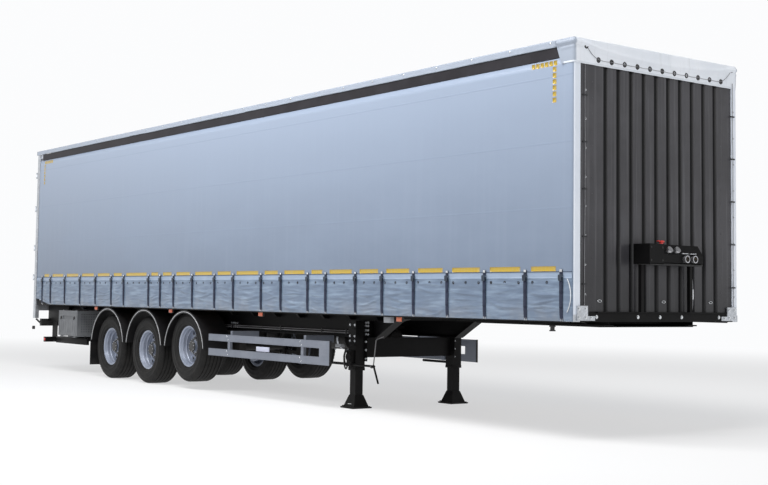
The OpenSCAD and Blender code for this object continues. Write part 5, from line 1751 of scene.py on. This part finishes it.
springs = [bellows(x - 0.320, s * ARM_Y, z - 0.093, 0.875) for x,
           z in zip(axle_xs, axle_zs) for s in (-1, 1)]
spring_piece = make_joined("air_bellows", springs,
                           finish("bellows_rubber", (0.010, 0.010, 0.011), (0.02, 0.02, 0.021), 0.6,
                                   dust=0.2, grain=400.0))
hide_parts("air_springs")
sharp_by_angle(spring_piece, 0.8)


def u_bolts():
    """Two clamps round each axle at each arm, with their nuts."""
    rods, nuts = [], []
    for x, z in zip(axle_xs, axle_zs):
        for s in (-1, 1):
            for dy in (-0.047, 0.047):
                t = np.linspace(0, np.pi, 15)
                arch = np.column_stack([x - 0.072 * np.cos(t), np.full(15, s * ARM_Y + dy),
                        z + 0.010 + 0.072 * np.sin(t)])
                path = np.concatenate([[arch[0] - [0, 0, 0.145]], arch, [arch[-1] - [0, 0, 0.145]]])
                rods.append(outward(tube_shape(path, 0.009, 8)))
                nuts += [(x - 0.072, s * ARM_Y + dy, z - 0.122), (x + 0.072, s * ARM_Y + dy, z - 0.122)]
    return join_parts(rods + [hex_bolts(nuts, "z", -1, 0.026, 0.016, 0.018)])


make_mesh("axle_u_bolts", *u_bolts(), FINISHES["bare_steel"])


def dampers():
    """A shock absorber from each axle up to the beam: dust tube, body and two eyes."""
    parts = []
    for x, z in zip(axle_xs, axle_zs):
        for s in (-1, 1):
            a = np.array([x - 0.085, s * 0.455, z - 0.020])
            b = np.array([x + 0.150, s * 0.470, 0.900])
            d = b - a
            line = lambda u: a + d * u
            parts.append(outward(tube_shape([line(0.0), line(0.55)], 0.026, 14)))
            parts.append(outward(tube_shape([line(0.42), line(0.96)], 0.033, 14)))
            for end in (a, b):
                parts.append(outward(turned_shape([(0.008, -0.020), (0.024, -0.020), (0.024, 0.020),
                        (0.008, 0.020)], end, "y", 18, 1)))
    return join_parts(parts)


sharp_by_angle(make_mesh("shock_absorbers", *dampers(), FINISHES["axle_black"]), 0.6)
chambers = []
for x, z in zip(axle_xs, axle_zs):
    for s in (-1, 1):
        band = turned_shape([(0.062, -0.008), (0.0715, -0.008), (0.0715, 0.008), (0.062, 0.008)],
                            (x + 0.178, s * 0.650, z - 0.025), "y", 32, 1)
        chambers.append(outward(band))
        chambers.append(hex_bolts([(x + 0.178 + 0.074, s * 0.650, z - 0.025)], "x", 1, 0.013, 0.010, 0.010))
make_joined("chamber_clamps", chambers, FINISHES["galvanised"])
TANK_X0 = low("air_tanks")[0]
bands = []
for x in (TANK_X0 + 0.200, TANK_X0 + 0.660):
    for s in (-1, 1):
        bands.append(outward(turned_shape([(0.1385, -0.020), (0.1415, -0.020), (0.1415, 0.020),
                (0.1385, 0.020)], (x, s * 0.350, 0.830), "x", 48, 1)))
plugs = hex_bolts([(TANK_X0 + 0.43, s * 0.350, 0.6920) for s in (-1, 1)], "z", -1, 0.022, 0.012, 0.014)
make_joined("tank_bands", bands + [plugs], FINISHES["galvanised"])
print("running gear done")

# %% [markdown]
# ## Rear end
# Two doors hang on the rear frame. Each has a rubber seal, two locking rods with cams and a
# handle, and rivet rows; below them sit the lamps, a blank number plate and the bumpers.

# %% Door seals, cams, handles
DOOR_LOW, DOOR_HIGH = low("rear_door_left")[2], high("rear_door_left")[2]
DOOR_X = REAR + 0.020
DOOR_IN, DOOR_OUT = 0.004, high("rear_frame")[1] - 0.080


def door_set(side):
    """Shapes for one door, as its seal, its bright metal, its handle and its tape."""
    def span(y0, y1):
        return (min(side * y0, side * y1), max(side * y0, side * y1))

    def bar(x0, x1, y0, y1, z0, z1):
        a, b = span(y0, y1)
        return box_shape((x0, a, z0), (x1, b, z1))

    seal = join_parts([bar(DOOR_X - 0.006, DOOR_X + 0.001, DOOR_IN + 0.001, DOOR_IN + 0.020,
                           DOOR_LOW + 0.004, DOOR_HIGH - 0.004),
                       bar(DOOR_X - 0.006, DOOR_X + 0.001, DOOR_OUT - 0.018, DOOR_OUT, DOOR_LOW + 0.004,
                           DOOR_HIGH - 0.004),
                       bar(DOOR_X - 0.006, DOOR_X + 0.001, DOOR_IN + 0.020, DOOR_OUT - 0.018,
                           DOOR_LOW + 0.004, DOOR_LOW + 0.022),
                       bar(DOOR_X - 0.006, DOOR_X + 0.001, DOOR_IN + 0.020, DOOR_OUT - 0.018,
                           DOOR_HIGH - 0.022, DOOR_HIGH - 0.004)])
    metal_parts, handle_parts = [], []
    for y in (0.300, 0.900):
        for z in (DOOR_LOW + 0.018, DOOR_HIGH - 0.050):
            metal_parts.append(bar(DOOR_X - 0.024, DOOR_X - 0.002, y - 0.030, y + 0.030, z, z + 0.032))
        for z in FLOOR + np.array([0.120, 0.800, 1.500, 2.200]):
            bolts = [(DOOR_X - 0.025, side * (y + dy), z + dz) for dy in (-0.033, 0.033)
                     for dz in (-0.012, 0.012)]
            metal_parts.append(dome_at(bolts, "x", -1, 0.0045, 0.003, 10))
        grip = [(DOOR_X - 0.018, side * (y - 0.020), FLOOR + 0.410),
                (DOOR_X - 0.028, side * (y - 0.070), FLOOR + 0.410),
                (DOOR_X - 0.029, side * (y - 0.150), FLOOR + 0.406),
                (DOOR_X - 0.026, side * (y - 0.196), FLOOR + 0.404)]
        handle_parts.append(outward(tube_shape(bent_path(grip, 0.02), 0.0085, 10)))
        handle_parts.append(bar(DOOR_X - 0.026, DOOR_X - 0.004, y - 0.012, y + 0.012, FLOOR + 0.392,
                FLOOR + 0.428))
    z_rows = np.arange(DOOR_LOW + 0.06, DOOR_HIGH - 0.05, 0.12)
    rivets = [(DOOR_X, side * y, z) for y in (0.052, DOOR_OUT - 0.040) for z in z_rows]
    metal_parts.append(dome_at(rivets, "x", -1, 0.0055, 0.0028, 10))
    for z in FLOOR + np.array([0.420, 0.960, 1.680, 2.300]):
        leaf = [(DOOR_X - 0.0 , side * y, z + dz) for y in (DOOR_OUT - 0.012,) for dz in (-0.014, 0.014)]
        metal_parts.append(hex_bolts([(p[0] - 0.001, p[1] - side * 0.022, p[2]) for p in leaf], "x", -1,
                0.013, 0.008, 0.010))
    tape = join_parts([bar(DOOR_X - 0.0010, DOOR_X + 0.0005, 0.070, 0.245, DOOR_LOW + 0.030,
                           DOOR_LOW + 0.080),
                       bar(DOOR_X - 0.0010, DOOR_X + 0.0005, 0.355, 0.845, DOOR_LOW + 0.030,
                           DOOR_LOW + 0.080),
                       bar(DOOR_X - 0.0010, DOOR_X + 0.0005, DOOR_OUT - 0.115, DOOR_OUT - 0.065,
                           DOOR_HIGH - 0.450, DOOR_HIGH - 0.060),
                       bar(DOOR_X - 0.0010, DOOR_X + 0.0005, 0.950, DOOR_OUT - 0.120, DOOR_HIGH - 0.110,
                           DOOR_HIGH - 0.060)])
    return seal, join_parts(metal_parts), join_parts(handle_parts), tape


for side, word in ((-1, "right"), (1, "left")):
    seal, metal_shape, handle_shape, tape_shape = door_set(side)
    body = "door_" + word
    finish_edges(make_mesh("door_seal_" + word, *seal, FINISHES["buffer_rubber"], body), 0.0015)
    sharp_by_angle(make_mesh("door_fittings_" + word, *metal_shape, STEEL_BRIGHT, body), 0.5)
    sharp_by_angle(make_mesh("door_handles_" + word, *handle_shape, FINISHES["galvanised"], body), 0.5)
    make_mesh("door_tape_" + word, *tape_shape,
              reflective_tape("red_tape_" + word, 10.0, 10.0, (0.45, 0.015, 0.012)), body, smooth=False)


# %% Lamps, plate and bumpers
RED = finish("red_lens", (0.42, 0.008, 0.008), (0.50, 0.015, 0.012), 0.15, coat=0.9)
AMBER = finish("amber_lens", (0.70, 0.20, 0.02), (0.78, 0.26, 0.03), 0.15, coat=0.9)
CLEAR = finish("clear_lens", (0.55, 0.57, 0.60), (0.65, 0.67, 0.70), 0.12, coat=0.9)


def lens_block(y0, y1, z0=0.800, z1=0.886):
    """A lens with a rounded face and fine upright ribs, on the lamp unit's rear face."""
    u, v = np.meshgrid(np.linspace(y0, y1, 25), np.linspace(z0, z1, 9), indexing="ij")
    edge = np.minimum(1, np.minimum(np.minimum(u - y0, y1 - u), np.minimum(v - z0, z1 - v)) / 0.010)
    bulge = 0.012 * np.sqrt(np.clip(1 - (1 - edge) ** 2, 0, 1)) + 0.0008 * np.cos(2 * np.pi
            * (u - y0) / 0.010)
    front = np.stack([REAR + 0.001 - bulge, u, v], -1).reshape(-1, 3)
    back = np.stack([REAR + 0.003 + 0 * u, u, v], -1).reshape(-1, 3)
    n = u.size
    faces = grid_faces(25, 9)
    index = np.arange(n).reshape(25, 9)
    loop = np.concatenate([index[:-1, 0], index[-1, :-1], index[:0:-1, -1], index[0, :0:-1]])
    after = np.roll(loop, -1)
    rim = np.stack([after, loop, loop + n, after + n], -1)
    return outward((np.concatenate([front, back]),
                    np.concatenate([faces, faces[:, ::-1] + n, rim]).tolist()))


sharp_by_angle(make_mesh("tail_lamps_red",
                         *mirrored(join_parts([lens_block(0.850, 0.985), lens_block(1.060, 1.112)])), RED),
                         0.7)
sharp_by_angle(make_mesh("tail_lamps_amber", *mirrored(lens_block(0.990, 1.055)), AMBER), 0.7)
sharp_by_angle(make_mesh("tail_lamps_clear", *mirrored(lens_block(0.748, 0.845)), CLEAR), 0.7)
end_lens = mirrored(outward(turned_shape([(0.0, 0.0), (0.021, 0.0), (0.021, 0.006), (0.014, 0.011),
        (0.0, 0.012)],
                                     (REAR - 0.045 - 0.023, 1.232, 0.745), "x", 20, -1)))
make_mesh("end_lamp_lenses", *end_lens, RED)
plate = box_shape((REAR + 0.034, -0.260, 0.795), (REAR + 0.040, 0.260, 0.905))
finish_edges(make_mesh("number_plate", *plate,
                       finish("plate_white", (0.72, 0.73, 0.74), rough=0.35, coat=0.4)), 0.002)
plate_bolts = [(REAR + 0.034, y, 0.850) for y in (-0.220, 0.220)]
make_mesh("plate_bolts", *dome_at(plate_bolts, "x", -1, 0.006, 0.004), STEEL_BRIGHT)
ridges = [box_shape((REAR - 0.0898, s * 1.005 - 0.062, z), (REAR - 0.084, s * 1.005 + 0.062, z + 0.012))
          for s in (-1, 1)
          for z in np.arange(1.075, 1.17, 0.026)]
make_joined("buffer_ridges", ridges, FINISHES["buffer_rubber"], smooth=False)
guard_tape = [box_shape((REAR + 0.2985, y, 0.515), (REAR + 0.3005, y + 0.16, 0.570))
              for y in np.arange(-1.12, 1.0, 0.32)]
make_joined("underrun_tape", guard_tape, reflective_tape("red_bar_tape", 10.0, 10.0, (0.45, 0.015, 0.012)),
            smooth=False)
bar_lamp = join_parts([outward(turned_shape([(0.0, 0.0), (0.030, 0.0), (0.030, 0.004), (0.020, 0.010),
        (0.0, 0.011)],
                                            (REAR + 0.350, s * 1.1745, 0.543), "y", 22, s))
                                                    for s in (-1, 1)])
make_mesh("bar_end_lamps", *bar_lamp, RED)
post_bolts = [(REAR + 0.001, s * 1.234, z) for s in (-1, 1) for z in (0.96, 1.01, 1.06)]
make_mesh("post_foot_bolts", *hex_bolts(post_bolts, "x", -1, 0.019, 0.010, 0.014), NUT, smooth=False)
print("rear done")


# %% Corner loop and lower straps
def corner_loop(side):
    """A white plastic cord that hangs in a loop from the front edge of the curtain."""
    t = np.linspace(0, 1, 34)
    x = FRONT - 0.085 + 0.055 * np.sin(np.pi * t) ** 0.8
    z = 1.600 - 0.330 * t
    y = side * (SIDE + 0.0065 + 0.004 * np.sin(np.pi * t))
    return outward(tube_shape(np.column_stack([x, y, z]), 0.0042, 8))


make_joined("curtain_end_cords", [corner_loop(-1), corner_loop(1)],
            finish("white_cord", (0.62, 0.64, 0.66), rough=0.55))
